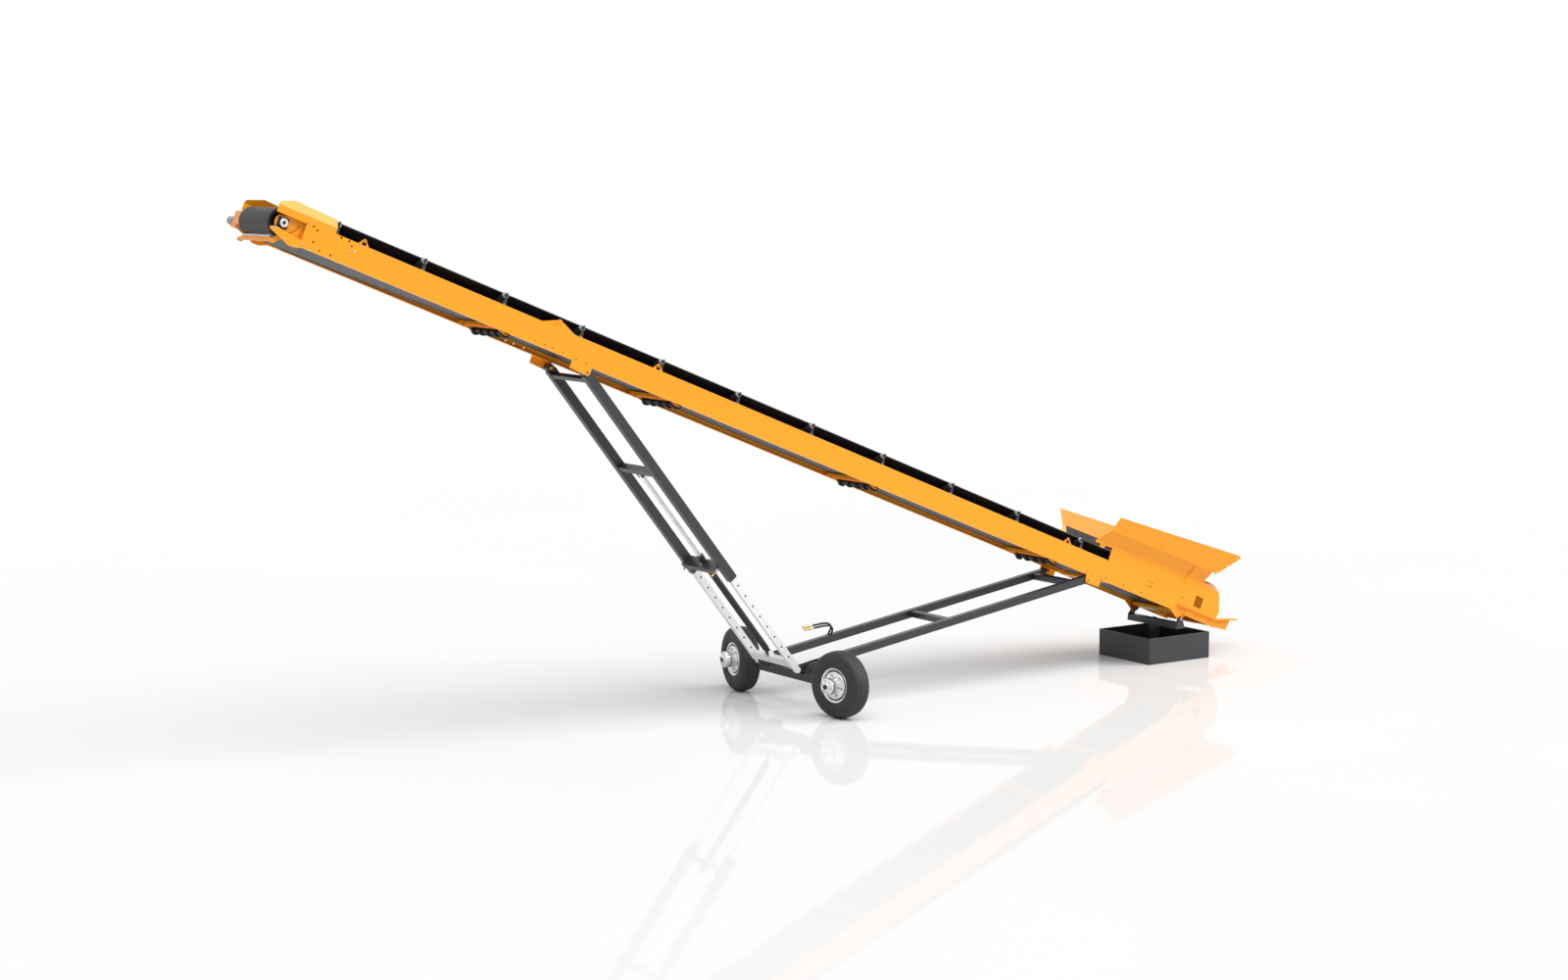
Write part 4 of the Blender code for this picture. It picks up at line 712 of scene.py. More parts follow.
carry_places = {"carry_idler_%d" % n: u for n, u in enumerate(MAIN_IDLERS, 1)}
carry_places.update({"head_idler_%d" % n: u for n, u in enumerate(HEAD_IDLERS, 1)})
return_places = {"return_idler_%d" % n: u for n, u in enumerate(RETURN_MAIN, 1)}
return_places["return_idler_head"] = RETURN_HEAD
CARRY_MATS = (MATS["roller_steel"], ROLLER_END, BOLT_STEEL)
RETURN_MATS = (MATS["roller_steel"], MATS["yellow_paint"], MATS["belt_rubber"])
for mesh, mats, places in ((carry_idler_mesh(), CARRY_MATS, carry_places),
                           (return_idler_mesh(), RETURN_MATS, return_places)):
    for node, u in places.items():
        stand_in(node, mesh.copy(), boom_at(u), mats)


# Drums

def drum_mesh(radius, near_reach, far_reach):
    """Lagged drum: 0 rubber lagging, 1 painted end discs and shaft."""
    bm = bmesh.new()
    half = DRUM_HALF
    spin(bm, mirrored([(half, radius - 0.014), (half, radius - 0.002), (half - 0.003, radius)]), 72)
    for side in (NEAR, FAR):
        rim = [(half, radius - 0.014), (half - 0.004, radius - 0.018), (half - 0.050, radius - 0.020),
               (half - 0.056, radius - 0.030), (half - 0.056, 0.075), (half - 0.040, 0.070),
               (half - 0.010, 0.068), (half - 0.006, 0.064), (half - 0.006, 0.030)]
        spin(bm, [(side * a, b) for a, b in rim], 72, material=1)
    spin(bm, [(0.020 - near_reach, 0), (0.020 - near_reach, 0.020), (0.030 - near_reach, 0.020),
              (0.030 - near_reach, 0.030), (far_reach - 0.003, 0.030), (far_reach, 0.027), (far_reach, 0)],
         32, material=1)
    return finish_mesh(bm, 35)


for node, (u, v, r), near_reach, far_reach in (("head_drum", HEAD_DRUM, 0.492, 0.600),
                                               ("tail_drum", TAIL_DRUM, 0.4835, 0.4835)):
    stand_in(node, drum_mesh(r, near_reach, far_reach), boom_at(u, v),
             (MATS["belt_rubber"], MATS["black_paint"]))


# Bearings and motor

def bearing_mesh(side):
    """Square cast flange with a bright locking ring and four bolts, seated at y = 0."""
    bm = bmesh.new()
    half, chamfer, thick = 0.065, 0.022, 0.018
    corners = []
    for sx, sz in ((-1, -1), (1, -1), (1, 1), (-1, 1)):
        start = degrees(atan2(sz, sx)) - 45
        corners += arc(sx * (half - chamfer), sz * (half - chamfer), chamfer, start, start + 90, 6)
    prism(bm, corners, 0, side * thick)
    dome = [(0.010, 0.060), (0.024, 0.056), (0.032, 0.050), (0.036, 0.046), (0.036, 0.031)]
    spin(bm, [(side * a, r) for a, r in dome], 48)
    ring = [(0.034, 0.051), (0.047, 0.051), (0.050, 0.048), (0.050, 0.024), (0.047, 0.021), (0.034, 0.021)]
    spin(bm, [(side * a, r) for a, r in ring], 48, material=1, closed=True)
    for x in (-0.047, 0.047):
        for z in (-0.047, 0.047):
            hex_bolt(bm, (x, side * thick, z), (0, side, 0), 0.017, 0.010)
    bar(bm, (-0.030, side * 0.026, 0.046), (-0.040, side * 0.030, 0.058), 0.005, 12, 0.001, 2)
    return finish_mesh(bm, 35)


for label, side in SIDES:
    u, v, _ = HEAD_DRUM
    stand_in("head_bearing_" + label, bearing_mesh(side), boom_at(u, v, side * (HEAD_PLATE_Y + GAP)),
             (MATS["cast_bearing"], RING_STEEL, BRASS))
    grease = [(-14.662, 0.462, -0.057), (-14.640, 0.476, -0.190), (-14.560, 0.480, -0.212),
              (-14.470, 0.476, -0.150), (-14.425, 0.450, -0.090), (-14.415, 0.434, -0.075)]
    tube_path("grease_pipe_" + label, [BOOM @ Vector((a, side * y, c)) for a, y, c in grease], 0.0035,
              "head_boom", HOSE)


def motor_mesh():
    """Orbit motor: coupling sleeve, mounting flange, ribbed body, end cap and bolts."""
    bm = bmesh.new()
    s = 0.8003
    spin(bm, [(0.605, 0), (0.605, 0.0305), (0.560, 0.0305), (0.560, 0.040), (0.562, 0.042), (s, 0.042)],
         48)
    body = [(s, 0.042), (s, 0.058), (s + 0.002, 0.060), (s + 0.013, 0.060), (s + 0.015, 0.058),
            (s + 0.015, 0.050), (s + 0.060, 0.050), (s + 0.062, 0.054)]
    for k in range(3):
        a = s + 0.066 + 0.030 * k
        body += [(a, 0.054), (a + 0.001, 0.052), (a + 0.004, 0.052), (a + 0.005, 0.054)]
    body += [(s + 0.165, 0.054), (s + 0.167, 0.050), (s + 0.171, 0.050), (s + 0.173, 0.054),
             (s + 0.205, 0.054), (s + 0.2097, 0.049), (s + 0.2097, 0.0)]
    spin(bm, body, 56)
    for k in range(6):
        angle = radians(60 * k + 30)
        for r, y, across, height in ((0.038, s + 0.2095, 0.011, 0.0002), (0.050, s + 0.015, 0.010, 0.007)):
            hex_bolt(bm, (r * cos(angle), y, r * sin(angle)), (0, 1, 0), across, height, 1)
    return finish_mesh(bm, 35)


u, v, _ = HEAD_DRUM
stand_in("drive_motor", motor_mesh(), boom_at(u, v), (MATS["motor_grey"], BOLT_STEEL))


# Wheels

def wheel_frame(side):
    """A wheel's own frame: -X points outward along its axle."""
    x, y, z = WHEEL
    return Matrix.Translation((x, side * y, z)) @ Matrix.Rotation(-side * TOE, 4, "Z")


TYRE_WIDEN = 0.006       # profile drawn 12 mm narrower than the tyre is


def tyre_mesh():
    """Ribbed sidewalls with bead lines, round shoulders and a crowned tread with three grooves."""
    half = [(0.1043, 0.2006), (0.1043, 0.2290), (0.1098, 0.2345), (0.1120, 0.2350), (0.1120, 0.2380),
            (0.1160, 0.2440), (0.1190, 0.2560), (0.1175, 0.2575), (0.1175, 0.2640), (0.1202, 0.2665),
            (0.1232, 0.2850), (0.1247, 0.3050), (0.1250, 0.3120), (0.1232, 0.3135), (0.1232, 0.3190),
            (0.1250, 0.3205), (0.1247, 0.3400), (0.1220, 0.3620), (0.1175, 0.3815), (0.1110, 0.3975),
            (0.1015, 0.4100), (0.0885, 0.4190), (0.0725, 0.4250), (0.0560, 0.4285), (0.0500, 0.4293),
            (0.0490, 0.4240), (0.0440, 0.4240), (0.0430, 0.4302), (0.0150, 0.4325), (0.0050, 0.4328),
            (0.0040, 0.4275), (0.0000, 0.4275)]
    half = [(a + TYRE_WIDEN if a > 0.04 else a, r) for a, r in half]
    profile = half + [(-a, r) for a, r in reversed(half[:-1])]
    bm = bmesh.new()
    spin(bm, profile, 120, "X", closed=True)
    return finish_mesh(bm, 40)


def rim_mesh():
    """Rim with a barely recessed ring round its disc in dark paint as painted shade of the gap, hub drum,
    studs and dark cap; 0 silver, 1 dark, 2 bolts.
    """
    bm = bmesh.new()
    lip = [(0.117, 0.218), (0.117, 0.223), (0.114, 0.225), (0.1085, 0.225), (0.105, 0.221), (0.105, 0.202),
           (0.102, 0.200)]
    body = [(0.092, 0), (0.092, 0.0355), (-0.118, 0.0355), (-0.118, 0.054), (-0.114, 0.058), (0.064, 0.058),
            (0.070, 0.064), (0.070, 0.184), (0.064, 0.190), (-0.100, 0.190), (-0.106, 0.193), (-0.112, 0.212)]
    body += mirrored(lip) + [(0.113, 0.209), (0.107, 0.199), (0.100, 0.1935), (0.088, 0.191)]
    # Painted shade: a ring half a millimetre deep, in the dark material, stands for the shadowed gap between
    # the rim and its disc
    shaded_gap = [(0.088, 0.191), (0.0875, 0.184), (0.088, 0.177)]
    disc = [(0.088, 0.177), (0.104, 0.176), (0.108, 0.172), (0.108, 0.160), (0.112, 0.150), (0.114, 0.122),
            (0.117, 0.112), (0.122, 0.108), (0.150, 0.1075), (0.152, 0.105), (0.160, 0.105), (0.162, 0.1075),
            (0.243, 0.1075), (0.248, 0.105), (0.250, 0.100), (0.250, 0.066), (0.252, 0.060), (0.252, 0.054),
            (0.255, 0.051), (0.267, 0.050), (0.270, 0.047), (0.270, 0.032)]
    cap = [(0.270, 0.032), (0.272, 0.030), (0.284, 0.030), (0.2875, 0.027), (0.288, 0.0)]
    for profile, steps, material in ((body, 96, 0), (shaded_gap, 96, 1), (disc, 96, 0), (cap, 48, 1)):
        spin(bm, [(-along, radius) for along, radius in profile], steps, "X", material)
    for k in range(6):
        angle = radians(60 * k + 12)
        c, s = cos(angle), sin(angle)
        hex_bolt(bm, (-0.250, 0.084 * c, 0.084 * s), (-1, 0, 0), 0.019, 0.014, 2)
        hex_bolt(bm, (-0.113, 0.136 * c, 0.136 * s), (-1, 0, 0), 0.024, 0.016, 2)
        bar(bm, (-0.129, 0.136 * c, 0.136 * s), (-0.141, 0.136 * c, 0.136 * s), 0.007, 12, 0.001, 2)
    return finish_mesh(bm, 35)


for label, side in SIDES:
    centre = wheel_frame(side)
    stand_in("wheel_tyre_" + label, tyre_mesh(), centre, (MATS["tyre_rubber"],))
    stand_in("wheel_rim_" + label, rim_mesh(), centre,
             (MATS["wheel_silver"], MATS["black_paint"], BOLT_STEEL))


# Head plates, guards, motor bracket and scraper

HEAD_END_U = -14.360
HEAD_TONGUE = [(-14.300, -0.292), (-14.300, -0.235), (-14.700, -0.185), (-14.775, -0.205),
               (-14.770, -0.235), (-14.585, -0.300), (-14.500, -0.335), (-14.420, -0.335)]
GUARD_FOOT = ((-14.757, -0.025), (-14.557, -0.025), (-14.370, -0.025), (-14.364, 0.0003), (-13.990, 0.0003))
GUARD_BAND_V = 0.063
GUARD_TOP = ((-14.745, 0.103), (-14.557, 0.176), (-14.370, 0.171), (-14.364, 0.171), (-14.005, 0.160))
GUARD_LEAN = 0.575       # how far the upper plate leans in per metre of height
SCRAPER = (-14.690, -0.345)


def head_plates(side):
    """Recessed bearing plate, the flange that closes the channel and the outer tongue, with its bolts."""
    bm = bmesh.new()
    u, v, _ = HEAD_DRUM
    top, bottom = -0.003, 0.003 - CHANNEL_DEPTH
    outline = [(HEAD_END_U + 0.180, top), (HEAD_END_U + 0.180, bottom), (HEAD_END_U - 0.080, bottom),
               (u + 0.060, v - 0.110)]
    outline += arc(u, v, 0.098, 230, 130, 12) + [(u + 0.060, v + 0.100), (HEAD_END_U - 0.080, top)]
    prism(bm, outline, side * HEAD_PLATE_Y, side * (HEAD_PLATE_Y - 0.012))
    box(bm, HEAD_END_U - 0.001, HEAD_END_U + SHEET, side * (SIDE_Y - 0.001), side * (HEAD_PLATE_Y - 0.001),
        0.001 - CHANNEL_DEPTH, -0.001)
    prism(bm, HEAD_TONGUE, side * (SIDE_Y + 0.001), side * (SIDE_Y - 0.007))
    for a, b in ((-14.745, -0.208), (-14.690, -0.205), (-14.560, -0.285), (-14.400, -0.318),
                 (-14.330, -0.262)):
        hex_bolt(bm, (a, side * (SIDE_Y + 0.001), b), (0, side, 0), 0.016, 0.009, 1)
    for b in (-0.235, -0.165, -0.055):
        hex_bolt(bm, (HEAD_END_U - 0.001, side * 0.462, b), (-1, 0, 0), 0.014, 0.008, 1)
    return finish_mesh(bm)


def scraper_mesh():
    """Pole and blade under the head drum, with arms outside the bearing plates; 1 pale blade edge."""
    bm = bmesh.new()
    u, v = SCRAPER
    out_y = HEAD_PLATE_Y + 0.0083
    bar(bm, (u, -out_y - 0.006, v), (u, out_y + 0.006, v), 0.020, 24, 0.002)
    tip = HEAD_DRUM[1] - HEAD_DRUM[2] - BELT_T - 0.003
    box(bm, u - 0.006, u + 0.006, -0.380, 0.380, v, tip - 0.018)
    box(bm, u - 0.004, u + 0.004, -0.378, 0.378, tip - 0.018, tip, 1)
    for side in (NEAR, FAR):
        plate = [(u - 0.030, v - 0.030), (u + 0.030, v - 0.030), (u + 0.180, -0.225), (u + 0.100, -0.200)]
        prism(bm, plate, side * out_y, side * (out_y - 0.008))
        for a, b in ((u + 0.120, -0.222), (u + 0.060, -0.280)):
            hex_bolt(bm, (a, side * out_y, b), (0, side, 0), 0.016, 0.009, 1)
    return finish_mesh(bm, 35)


def motor_bracket_mesh():
    """Box tube round the far end of the head shaft, with its foot flange and motor plate."""
    bm = bmesh.new()
    u0, u1, v0, v1 = -14.685, -14.557, -0.208, -0.014
    foot, seat, wall = SIDE_Y + 0.0013, 0.800, 0.006
    for a0, a1, b0, b1 in ((u0, u1, v1 - wall, v1), (u0, u1, v0, v0 + wall), (u0, u0 + wall, v0, v1),
                           (u1 - wall, u1, v0, v1)):
        box(bm, a0, a1, foot, seat - wall, b0, b1)
    box(bm, u0 - 0.002, u1 + 0.002, seat - wall, seat, v0 - 0.002, v1 + 0.002)
    box(bm, u0 - 0.015, u1 + 0.015, foot, foot + wall, v0 - 0.032, v1 + 0.024)
    for a in (u0 - 0.004, u1 + 0.004):
        for b in (v0 - 0.018, v1 + 0.012):
            hex_bolt(bm, (a, foot + wall, b), (0, 1, 0), 0.014, 0.009, 1)
    return finish_mesh(bm)


for label, side in SIDES:
    piece("head_plates_" + label, head_plates(side), body="head_boom", bevel=0.0015)
    y = SIDE_Y - SHEET / 2
    rows = [[(u, side * y, v) for u, v in GUARD_FOOT], [(u, side * y, GUARD_BAND_V) for u, _ in GUARD_FOOT],
            [(u, side * (y - GUARD_LEAN * (v - GUARD_BAND_V)), v) for u, v in GUARD_TOP]]
    sheet("head_guard_%s_skin" % label, rows, "head_boom", ["head_guard_" + label])
stand_in("belt_scraper", scraper_mesh(), BOOM, YELLOW, 0.001)
piece("motor_bracket", motor_bracket_mesh(), body="head_boom", bevel=0.0015)


# Hopper and tail

BAND_START = (-1.741, 0.200)     # u, v of the line where a wing leaves its tail plate
BAND_END = (0.420, 0.249)
CREASE_START = (-1.616, 0.384)   # fold between a wing's band and its upper plate
CREASE_END = (0.430, 0.420)
CREASE_END_OUT = 0.115
RIM_START = (-1.565, 0.596)
RIM_END = (0.728, 0.765)
WING_GAP = 0.0033
TAIL_TOP = ((-1.410, 0.208), (0.420, 0.249), (0.770, 0.196))
TAIL_REAR = ((0.870, -0.128), (0.885, -0.071))
WINDOW = (0.368, 0.514, -0.130, 0.028)
RAIL_TOP, RAIL_BOTTOM = (0.063, -0.195), (0.227, -0.306)


def on_line(start, end, u):
    """The v of a line between two points (u, v), at a given u."""
    return start[1] + (end[1] - start[1]) * (u - start[0]) / (end[0] - start[0])


def band_out(u, v):
    """How far out of the tail plate the wing's leaning band lies."""
    rise = CREASE_END[1] - on_line(BAND_START, BAND_END, CREASE_END[0])
    return WING_GAP + (CREASE_END_OUT - WING_GAP) * (v - on_line(BAND_START, BAND_END, u)) / rise


FRONT_SET_BACK = {NEAR: (0.0, 0.0), FAR: (0.215, 0.150)}      # how far back a wing's foot and fold start


def hopper_side(label, side):
    """A folded wing with its skirt, its flange and its ribs."""
    back, fold_back = FRONT_SET_BACK[side]

    def row(*ends):
        return [(u, side * (SIDE_Y + out), v) for (u, v), out in ends]
    low = 0.030
    start, fold_at = (BAND_START[0] + back, BAND_START[1]), (CREASE_START[0] + fold_back, CREASE_START[1])
    rows = [row(((start[0], start[1] - low), WING_GAP), ((BAND_END[0], BAND_END[1] - low), WING_GAP)),
            row((start, WING_GAP), (BAND_END, WING_GAP)),
            row((fold_at, band_out(*fold_at)), (CREASE_END, CREASE_END_OUT)),
            row((RIM_START, 0.160), (RIM_END, 0.215))]
    sheet("hopper_wing_%s_skin" % label, rows, nodes=["hopper_wing_" + label])
    rows = []
    skirt_ends = (back - 1.620, 0.060)
    for share in (0.98, 0.48):
        line = []
        for u in skirt_ends:
            foot = on_line(BAND_START, BAND_END, u)
            v = foot + (on_line(CREASE_START, CREASE_END, u) - foot) * share
            line.append((u, side * (SIDE_Y + band_out(u, v) - 0.0062), v + 0.0042))
        rows.append(line)
    rows += [[(u, side * y, v) for u in skirt_ends] for y, v in ((0.470, 0.266), (0.415, 0.172))]
    sheet("hopper_skirt_%s_skin" % label, rows, "main_boom", ["hopper_skirt_" + label],
          (MATS["belt_rubber"],), "belt_rubber", SKIRT)
    edges = [row(((0.426, 0.416), 0.112), (RIM_END, 0.212)),
             row(((0.492, 0.398), 0.118), ((0.790, 0.742), 0.212))]
    flange = sheet("wing_flange_" + label, edges, None, bevel=0)
    bolt_holes = row(((0.492, 0.430), 0.125), ((0.617, 0.573), 0.165), ((0.742, 0.716), 0.205))
    drill(flange, [(BOOM @ Vector(point), (0, 1, 0), 0.011, 0.080) for point in bolt_holes])
    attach(flange, "main_boom")
    bm = bmesh.new()
    rib = ((0.001, 0.215), (0.108, 0.398), (0.120, 0.392), (0.009, 0.205))
    prism(bm, [(side * (SIDE_Y + out), v) for out, v in rib], 0.080, 0.086, "X")
    box(bm, 0.050, 0.116, side * (SIDE_Y + 0.001), side * (SIDE_Y + 0.007), 0.150, 0.215)
    prism(bm, [(-1.640, 0.130), (-1.560, 0.130), (-1.520, 0.195), (-1.640, 0.200)], side * (SIDE_Y - 0.001),
          side * (SIDE_Y - 0.007))
    piece("wing_rib_" + label, finish_mesh(bm), bevel=0.001)


def tail_plates(side):
    """Tail plate with its window, the hinge lug and the C rail with a slanted front end."""
    bm = bmesh.new()
    outline = [(-1.398, -CHANNEL_DEPTH), (0.877, -CHANNEL_DEPTH), *TAIL_REAR, TAIL_TOP[2], TAIL_TOP[1]]
    outline += arc(TAIL_TOP[0][0] + 0.020, TAIL_TOP[0][1] - 0.020, 0.020, 90, 180, 4)
    outline += [(TAIL_TOP[0][0], 0.030), (-1.398, 0.0)]
    prism(bm, outline, side * SIDE_Y, side * (SIDE_Y - SHEET))
    u, v = TILT_LUG
    lug = [(u - 0.220, 0.002 - CHANNEL_DEPTH)] + arc(u, v, 0.036, 200, 340, 10)
    lug += [(u + 0.100, 0.002 - CHANNEL_DEPTH), (u + 0.060, -0.230), (u - 0.170, -0.230)]
    prism(bm, lug, side * (SIDE_Y - 0.004), side * (SIDE_Y - 0.016))
    (a0, top), (a1, low) = RAIL_TOP, RAIL_BOTTOM
    web_in, web, edge = side * (SIDE_Y - 0.002), side * (SIDE_Y + SHEET), side * (SIDE_Y + 0.040)
    prism(bm, [(a0, top), (0.867, top), (0.867, low), (a1, low)], web_in, web)
    prism(bm, [(a0, top), (0.867, top), (0.867, top - SHEET), (a0 + 0.009, top - SHEET)], web_in, edge)
    prism(bm, [(a1 - 0.009, low + SHEET), (0.867, low + SHEET), (0.867, low), (a1, low)], web_in, edge)
    return finish_mesh(bm)


for label, side in SIDES:
    hopper_side(label, side)
    drilled("tail_plates_" + label, tail_plates(side), "main_boom", side_holes(TAIL_HOLES, 0.012, side),
            [(WINDOW[0], WINDOW[1], side * 0.440, side * 0.520, WINDOW[2], WINDOW[3])])

inner = SIDE_Y - SHEET - GAP
back_rows = ((0.395, 0.075, inner), (0.395, 0.259, inner), (0.395, 0.420, SIDE_Y + 0.103),
             (0.698, 0.755, SIDE_Y + 0.199))
sheet("hopper_back_skin", [[(u, -half, v), (u, half, v)] for u, v, half in back_rows], nodes=["hopper_back"])
line = [(0.412, 0.262), (0.500, 0.275), (0.620, 0.268), (0.730, 0.228), (0.800, 0.150), (0.846, 0.040),
        (0.862, -0.078), (0.858, -0.150), (0.852, -0.210)]
fine = []
for (a0, b0), (a1, b1) in zip(line, line[1:]):
    count = round(hypot(a1 - a0, b1 - b0) / 0.026)
    fine += [(a0 + (a1 - a0) * i / count, b0 + (b1 - b0) * i / count) for i in range(count)]
fine.append(line[-1])
mesh_panel("tail_guard_skin", [[(u, -inner, v), (u, inner, v)] for u, v in fine], 37, ["tail_guard"])
for label, side in SIDES:
    y, margin = side * (SIDE_Y - 0.010), 0.006
    u0, u1, v0, v1 = WINDOW
    heights = [v0 - margin + (v1 - v0 + 2 * margin) * i / 9 for i in range(10)]
    mesh_panel("window_mesh_" + label, [[(u0 - margin, y, v), (u1 + margin, y, v)] for v in heights], 8)


# Link brackets on the channels

def bracket_mesh(side):
    """Plates on the channel's face that carry the leg's and the strut's pins, with the pins' heads."""
    bm = bmesh.new()
    face, out = side * (SIDE_Y - 0.002), side * (SIDE_Y + 0.010)
    u, v = LEG_PIN
    leg_plate = [(u - 0.253, -0.240), (u - 0.253, -0.395), *arc(u, v, 0.044, 250, 360, 8),
                 (u + 0.044, -0.240)]
    u, v = STRUT_PIN
    strut_plate = [(u - 0.059, -0.233), *arc(u, v, 0.044, 200, 270, 6), (u + 0.226, -0.400),
                   (u + 0.226, -0.233)]
    for outline, (u, v) in ((leg_plate, LEG_PIN), (strut_plate, STRUT_PIN)):
        prism(bm, outline, face, out)
        bar(bm, (u, side * 0.362, v), (u, side * 0.512, v), 0.022, 32, 0.002)
    return finish_mesh(bm, 35)


for label, side in SIDES:
    drilled("link_brackets_" + label, bracket_mesh(side), "main_boom", side_holes(LINK_HOLES, 0.009, side))


# Lifting lugs on the channels' top edges

LUG_V = 0.052
for name, body, u in (("lug_head", "head_boom", -13.617), ("lug_mid", "main_boom", -9.347),
                      ("lug_tail", "main_boom", -2.216)):
    for label, side in SIDES:
        bm = bmesh.new()
        prism(bm, [(u - 0.070, -0.001), (u + 0.070, -0.001)] + arc(u, LUG_V, 0.022, 20, 160, 10),
              side * (SIDE_Y - 0.001), side * (SIDE_Y - 0.013))
        drilled("%s_%s" % (name, label), finish_mesh(bm), body, side_holes([(u, LUG_V)], 0.011, side, 0.030),
                bevel=0.0012)


# Lugs on the swivel beam, and pipe stubs with couplings on the far strut

for label, side in SIDES:
    bm = bmesh.new()
    outline = [(-0.060, 0.462), (0.112, 0.462)] + arc(0.030, 0.600, 0.034, 15, 165, 12)
    prism(bm, outline, side * 0.5118, side * 0.5205)
    bar(bm, (0.030, side * 0.512, 0.600), (0.030, side * 0.534, 0.600), 0.018, 24, 0.002, 1)
    piece("beam_lug_" + label, finish_mesh(bm, 35), WORLD, BODY_OF["swivel_beam"],
          (MATS["dark_grey_paint"], BOLT_STEEL), (), "dark_grey_paint", 0.002)

for number, (y, lift) in enumerate(((0.430, 0.0), (0.466, 0.028)), 1):
    bend = ((-5.385, 0.780), (-5.365, 0.835), (-5.400, 0.878), (-5.480, 0.892), (-5.600, 0.884),
            (-5.690, 0.878))
    route = [(-5.430, y, 0.735)] + [(x, y, z + lift) for x, z in bend]
    tube_path("pipe_stub_%d" % number, route, 0.014, BODY_OF["lower_frame"], MATS["black_paint"])
    bm = bmesh.new()
    spin(bm, [(-0.012, 0), (-0.012, 0.016), (0, 0.019), (0.028, 0.019), (0.030, 0.016)], 6, "Z", material=1)
    spin(bm, [(0.028, 0.016), (0.032, 0.020), (0.060, 0.020), (0.062, 0.018), (0.066, 0.020), (0.084, 0.020),
              (0.088, 0.017), (0.130, 0.016), (0.134, 0.013), (0.134, 0)], 24, "Z")
    piece("coupling_%d" % number, finish_mesh(bm, 35), aimed(route[-1], (-0.998, 0, -0.06)),
          BODY_OF["lower_frame"], (BRASS, BOLT_STEEL), (), "motor_grey")


# Painted shade: near-black discs behind the holes in the outer plates and on the pin heads, standing for the
# shade inside the holes

for label, side in SIDES:
    bm = bmesh.new()
    for rows, face, radius in ((TAIL_HOLES, SIDE_Y - 0.002, 0.0116), (LINK_HOLES, SIDE_Y + 0.007, 0.0086),
                               ((LEG_PIN, STRUT_PIN), SIDE_Y + 0.0224, 0.012)):
        for a, b in rows:
            bar(bm, (a, side * face, b), (a, side * (face - 0.010), b), radius, 16)
    piece("plate_hole_shade_" + label, finish_mesh(bm, 35), mats=(HOLE_SHADE_PAINT,), slot="black_paint")


# Steel work: the CAD shapes with their small holes cut and their edges rounded

HEAD_HOLES = ((-14.274, -0.023), (-14.217, -0.050), (-14.220, -0.190), (-14.116, -0.252),
              (-13.966, -0.256), (-13.908, -0.019), (-13.803, -0.022), (-13.754, -0.065))
HEAD_HOLES_SMALL = ((-13.753, -0.137), (-13.692, -0.100))
SEAM_HOLES_HEAD = ((-11.110, -0.252), (-10.960, -0.254))
SEAM_HOLES_MAIN = ((-10.838, -0.254), (-10.685, -0.253))

holes_of = {}
boxes_of = {"tail_frame": []}
for label, side in SIDES:
    holes_of["head_channel_" + label] = side_holes(HEAD_HOLES, 0.013, side) + \
        side_holes(HEAD_HOLES_SMALL, 0.011, side) + side_holes(SEAM_HOLES_HEAD, 0.010, side)
    holes_of["channel_" + label] = side_holes(SEAM_HOLES_MAIN, 0.010, side)
    boxes_of["head_channel_" + label] = [(-15.0, HEAD_END_U - 0.0005, side * 0.35, side * 0.60, -0.50, 0.20)]
    boxes_of["channel_" + label] = [
        (u - 0.30, u + 0.30, side * y0, side * 0.56, v0, v1) for u in (LEG_PIN[0], STRUT_PIN[0])
        for y0, v0, v1 in ((SIDE_Y, -0.294, -0.16), (0.34, -0.48, -0.2951))]
    boxes_of["tail_frame"] += [(-1.50, 1.10, side * 0.484, side * 0.60, -0.42, 0.40),
                               (0.876, 1.00, side * 0.10, side * 0.50, -0.34, -0.18)]

FIRST_LEG_HOLE, LEG_HOLE_PITCH = 3.572, 0.1805
leg_holes = [(LEG @ Vector((FIRST_LEG_HOLE + LEG_HOLE_PITCH * i, side * LINK_Y, 0)), (0, 1, 0), 0.0135, 0.060)
             for i in range(8) for side in (NEAR, FAR)]
holes_of["leg_inner"] = leg_holes
inner_leg = frame["nodes"]["leg_inner"]
edge = max(abs((inner_leg.matrix_world @ vert.co).y) for vert in inner_leg.data.vertices)
reach = edge - LINK_Y - 0.003
# Painted shade: near-black bars through the inner legs' holes, standing for the shade inside them
bm = bmesh.new()
for point, _, radius, _ in leg_holes:
    bar(bm, point + Vector((0, -reach, 0)), point + Vector((0, reach, 0)), radius - 0.0004, 16)
piece("leg_hole_shade", finish_mesh(bm, 35), WORLD, BODY_OF["leg_inner"], (HOLE_SHADE_PAINT,), (), "black_paint")
bm = bmesh.new()
for start, end in (((3.252, -0.390, -0.060), (3.246, -0.390, -0.188)),
                   ((3.312, 0.390, -0.030), (3.304, 0.390, -0.140))):
    bar(bm, start, end, 0.007, 16, 0.001)
    bar(bm, Vector(end).lerp(Vector(start), 0.25), end, 0.012, 16, 0.002)
piece("leg_pins", finish_mesh(bm, 35), LEG, BODY_OF["leg_outer"], (BRASS,), (), "motor_grey")

BEVELS = dict.fromkeys(("ballast_box", "lower_frame", "leg_outer", "leg_inner", "axle_beam"), 0.004)
BEVELS.update(dict.fromkeys(("channel_near", "channel_far", "swivel_beam", "swivel_bracket_near",
                             "swivel_bracket_far"), 0.003))
BEVELS["cylinder_barrel"] = 0.002
for node in sorted(set(frame["nodes"]) - stood_for):
    redrawn(node, holes_of.get(node, ()), boxes_of.get(node, ()), BEVELS.get(node, 0.0015))


# Camera, floor and light

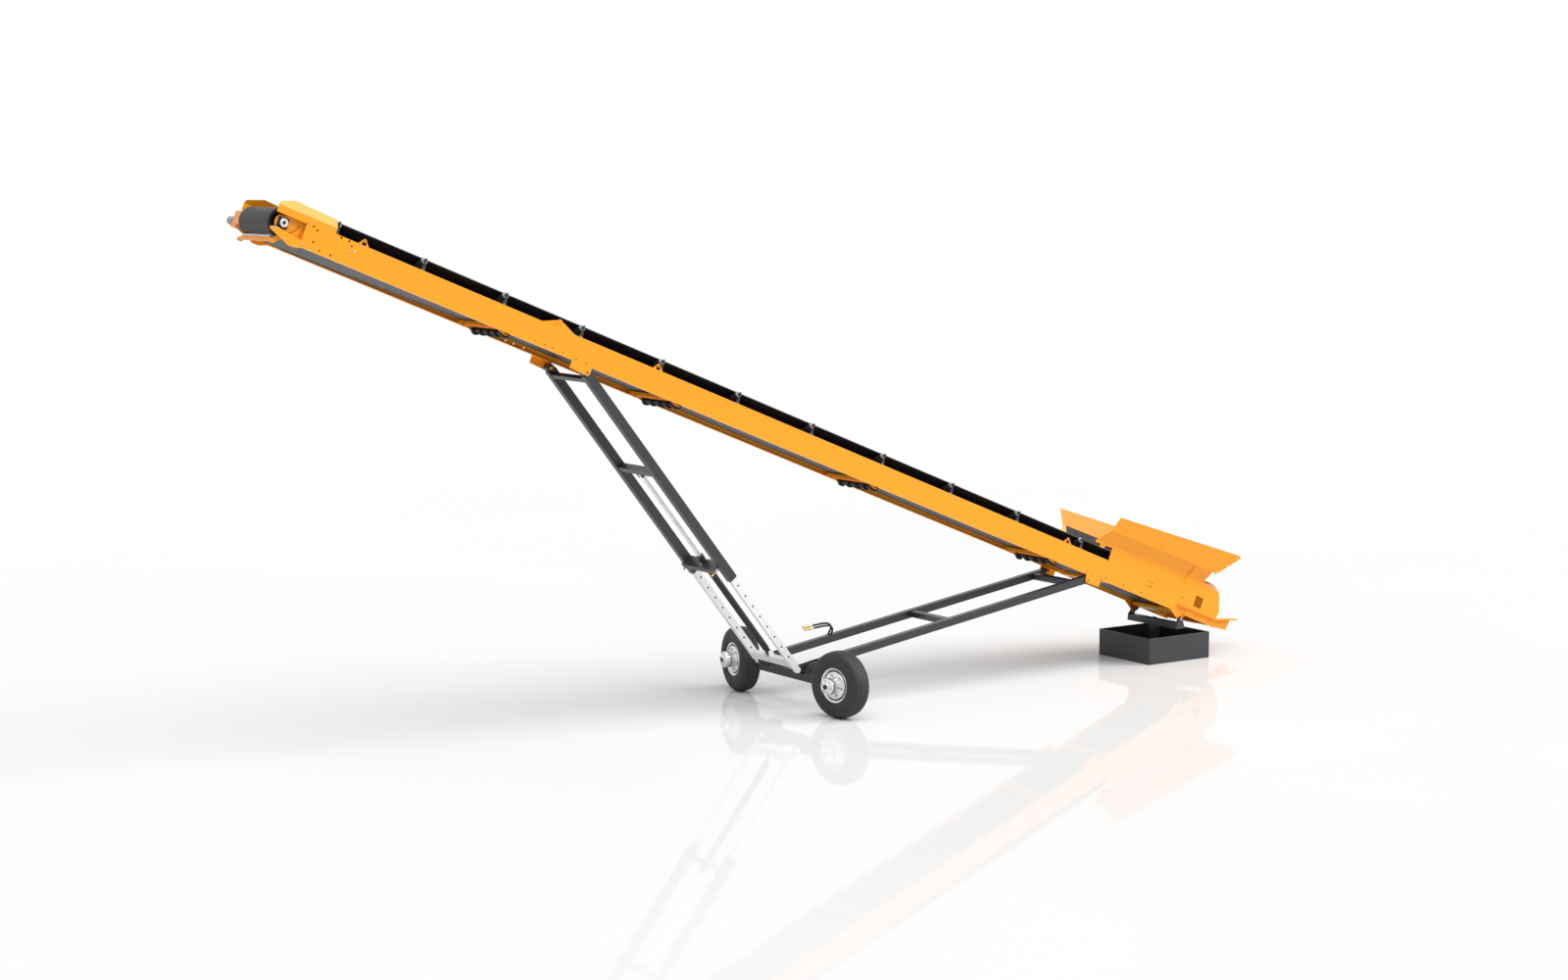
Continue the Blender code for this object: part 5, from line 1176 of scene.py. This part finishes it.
LOOK_DOWN, LOOK_TURN = 6.678, -34.419     # degrees
camera = new_object("camera", bpy.data.cameras.new("camera"))
camera.location = (-27.07, -30.10, 7.098)
camera.rotation_euler = (radians(90 - LOOK_DOWN), 0, radians(LOOK_TURN))
camera.data.sensor_width = 36
camera.data.lens = 64.96
camera.data.clip_end = 500
bpy.context.scene.camera = camera


FLOOR_CENTRE = (-5, 0, 0)


def studio_floor():
    """Pale floor with a faint mirror, clear far from the machine."""
    n = Nodes("studio_floor", (0.74, 0.74, 0.74), 0.04, specular=0.02)
    n.colour(n.ramp(n.noise(0.12, 2), (0.73, 0.73, 0.73), (0.75, 0.75, 0.75)))
    n.roughness(n.noise(0.5, 2), 0.03, 0.05)
    away = n.add("ShaderNodeVectorMath", {1: FLOOR_CENTRE}, operation="DISTANCE")
    n.link(n.add("ShaderNodeNewGeometry").outputs["Position"], away.inputs[0])
    fade = n.add("ShaderNodeMapRange", {"From Min": 8, "From Max": 34}, interpolation_type="SMOOTHSTEP")
    n.link(away.outputs["Value"], fade.inputs["Value"])
    clear = n.add("ShaderNodeBsdfTransparent")
    mix = n.add("ShaderNodeMixShader")
    for number, out in enumerate((fade.outputs["Result"], n.shader.outputs[0], clear.outputs[0])):
        n.link(out, mix.inputs[number])
    n.link(mix.outputs[0], n.tree.nodes["Material Output"].inputs["Surface"])
    return n.mat


bm = bmesh.new()
bmesh.ops.create_grid(bm, x_segments=2, y_segments=2, size=90)
floor = new_object("studio_floor", finish_mesh(bm))
floor.location = (FLOOR_CENTRE[0], 0, -0.001)
floor.data.materials.append(studio_floor())

world = bpy.data.worlds.new("studio")
bpy.context.scene.world = world
world.use_nodes = True
tree = world.node_tree
back = tree.nodes["Background"]
back.inputs["Color"].default_value = (1, 1, 1, 1)
rays = add_node(tree, "ShaderNodeLightPath")
seen = rays.outputs["Is Camera Ray"]
for kind in ("Is Glossy Ray", "Is Transmission Ray"):
    either = add_node(tree, "ShaderNodeMath", operation="MAXIMUM")
    tree.links.new(seen, either.inputs[0])
    tree.links.new(rays.outputs[kind], either.inputs[1])
    seen = either.outputs[0]
level = add_node(tree, "ShaderNodeMapRange", {"To Min": 0.46, "To Max": 1.0})
tree.links.new(seen, level.inputs["Value"])
tree.links.new(level.outputs["Result"], back.inputs["Strength"])

for name, energy, angle, toward in (("side", 2.2, 45, (0.68, -0.48, 0.55)),
                                    ("top", 1.7, 50, (-0.20, -0.35, 0.91))):
    sun = new_object(name, bpy.data.lights.new(name, "SUN"))
    sun.data.energy = energy
    sun.data.angle = radians(angle)
    sun.rotation_euler = Vector(toward).to_track_quat("Z", "Y").to_euler()

bpy.context.scene.view_settings.view_transform = "Standard"
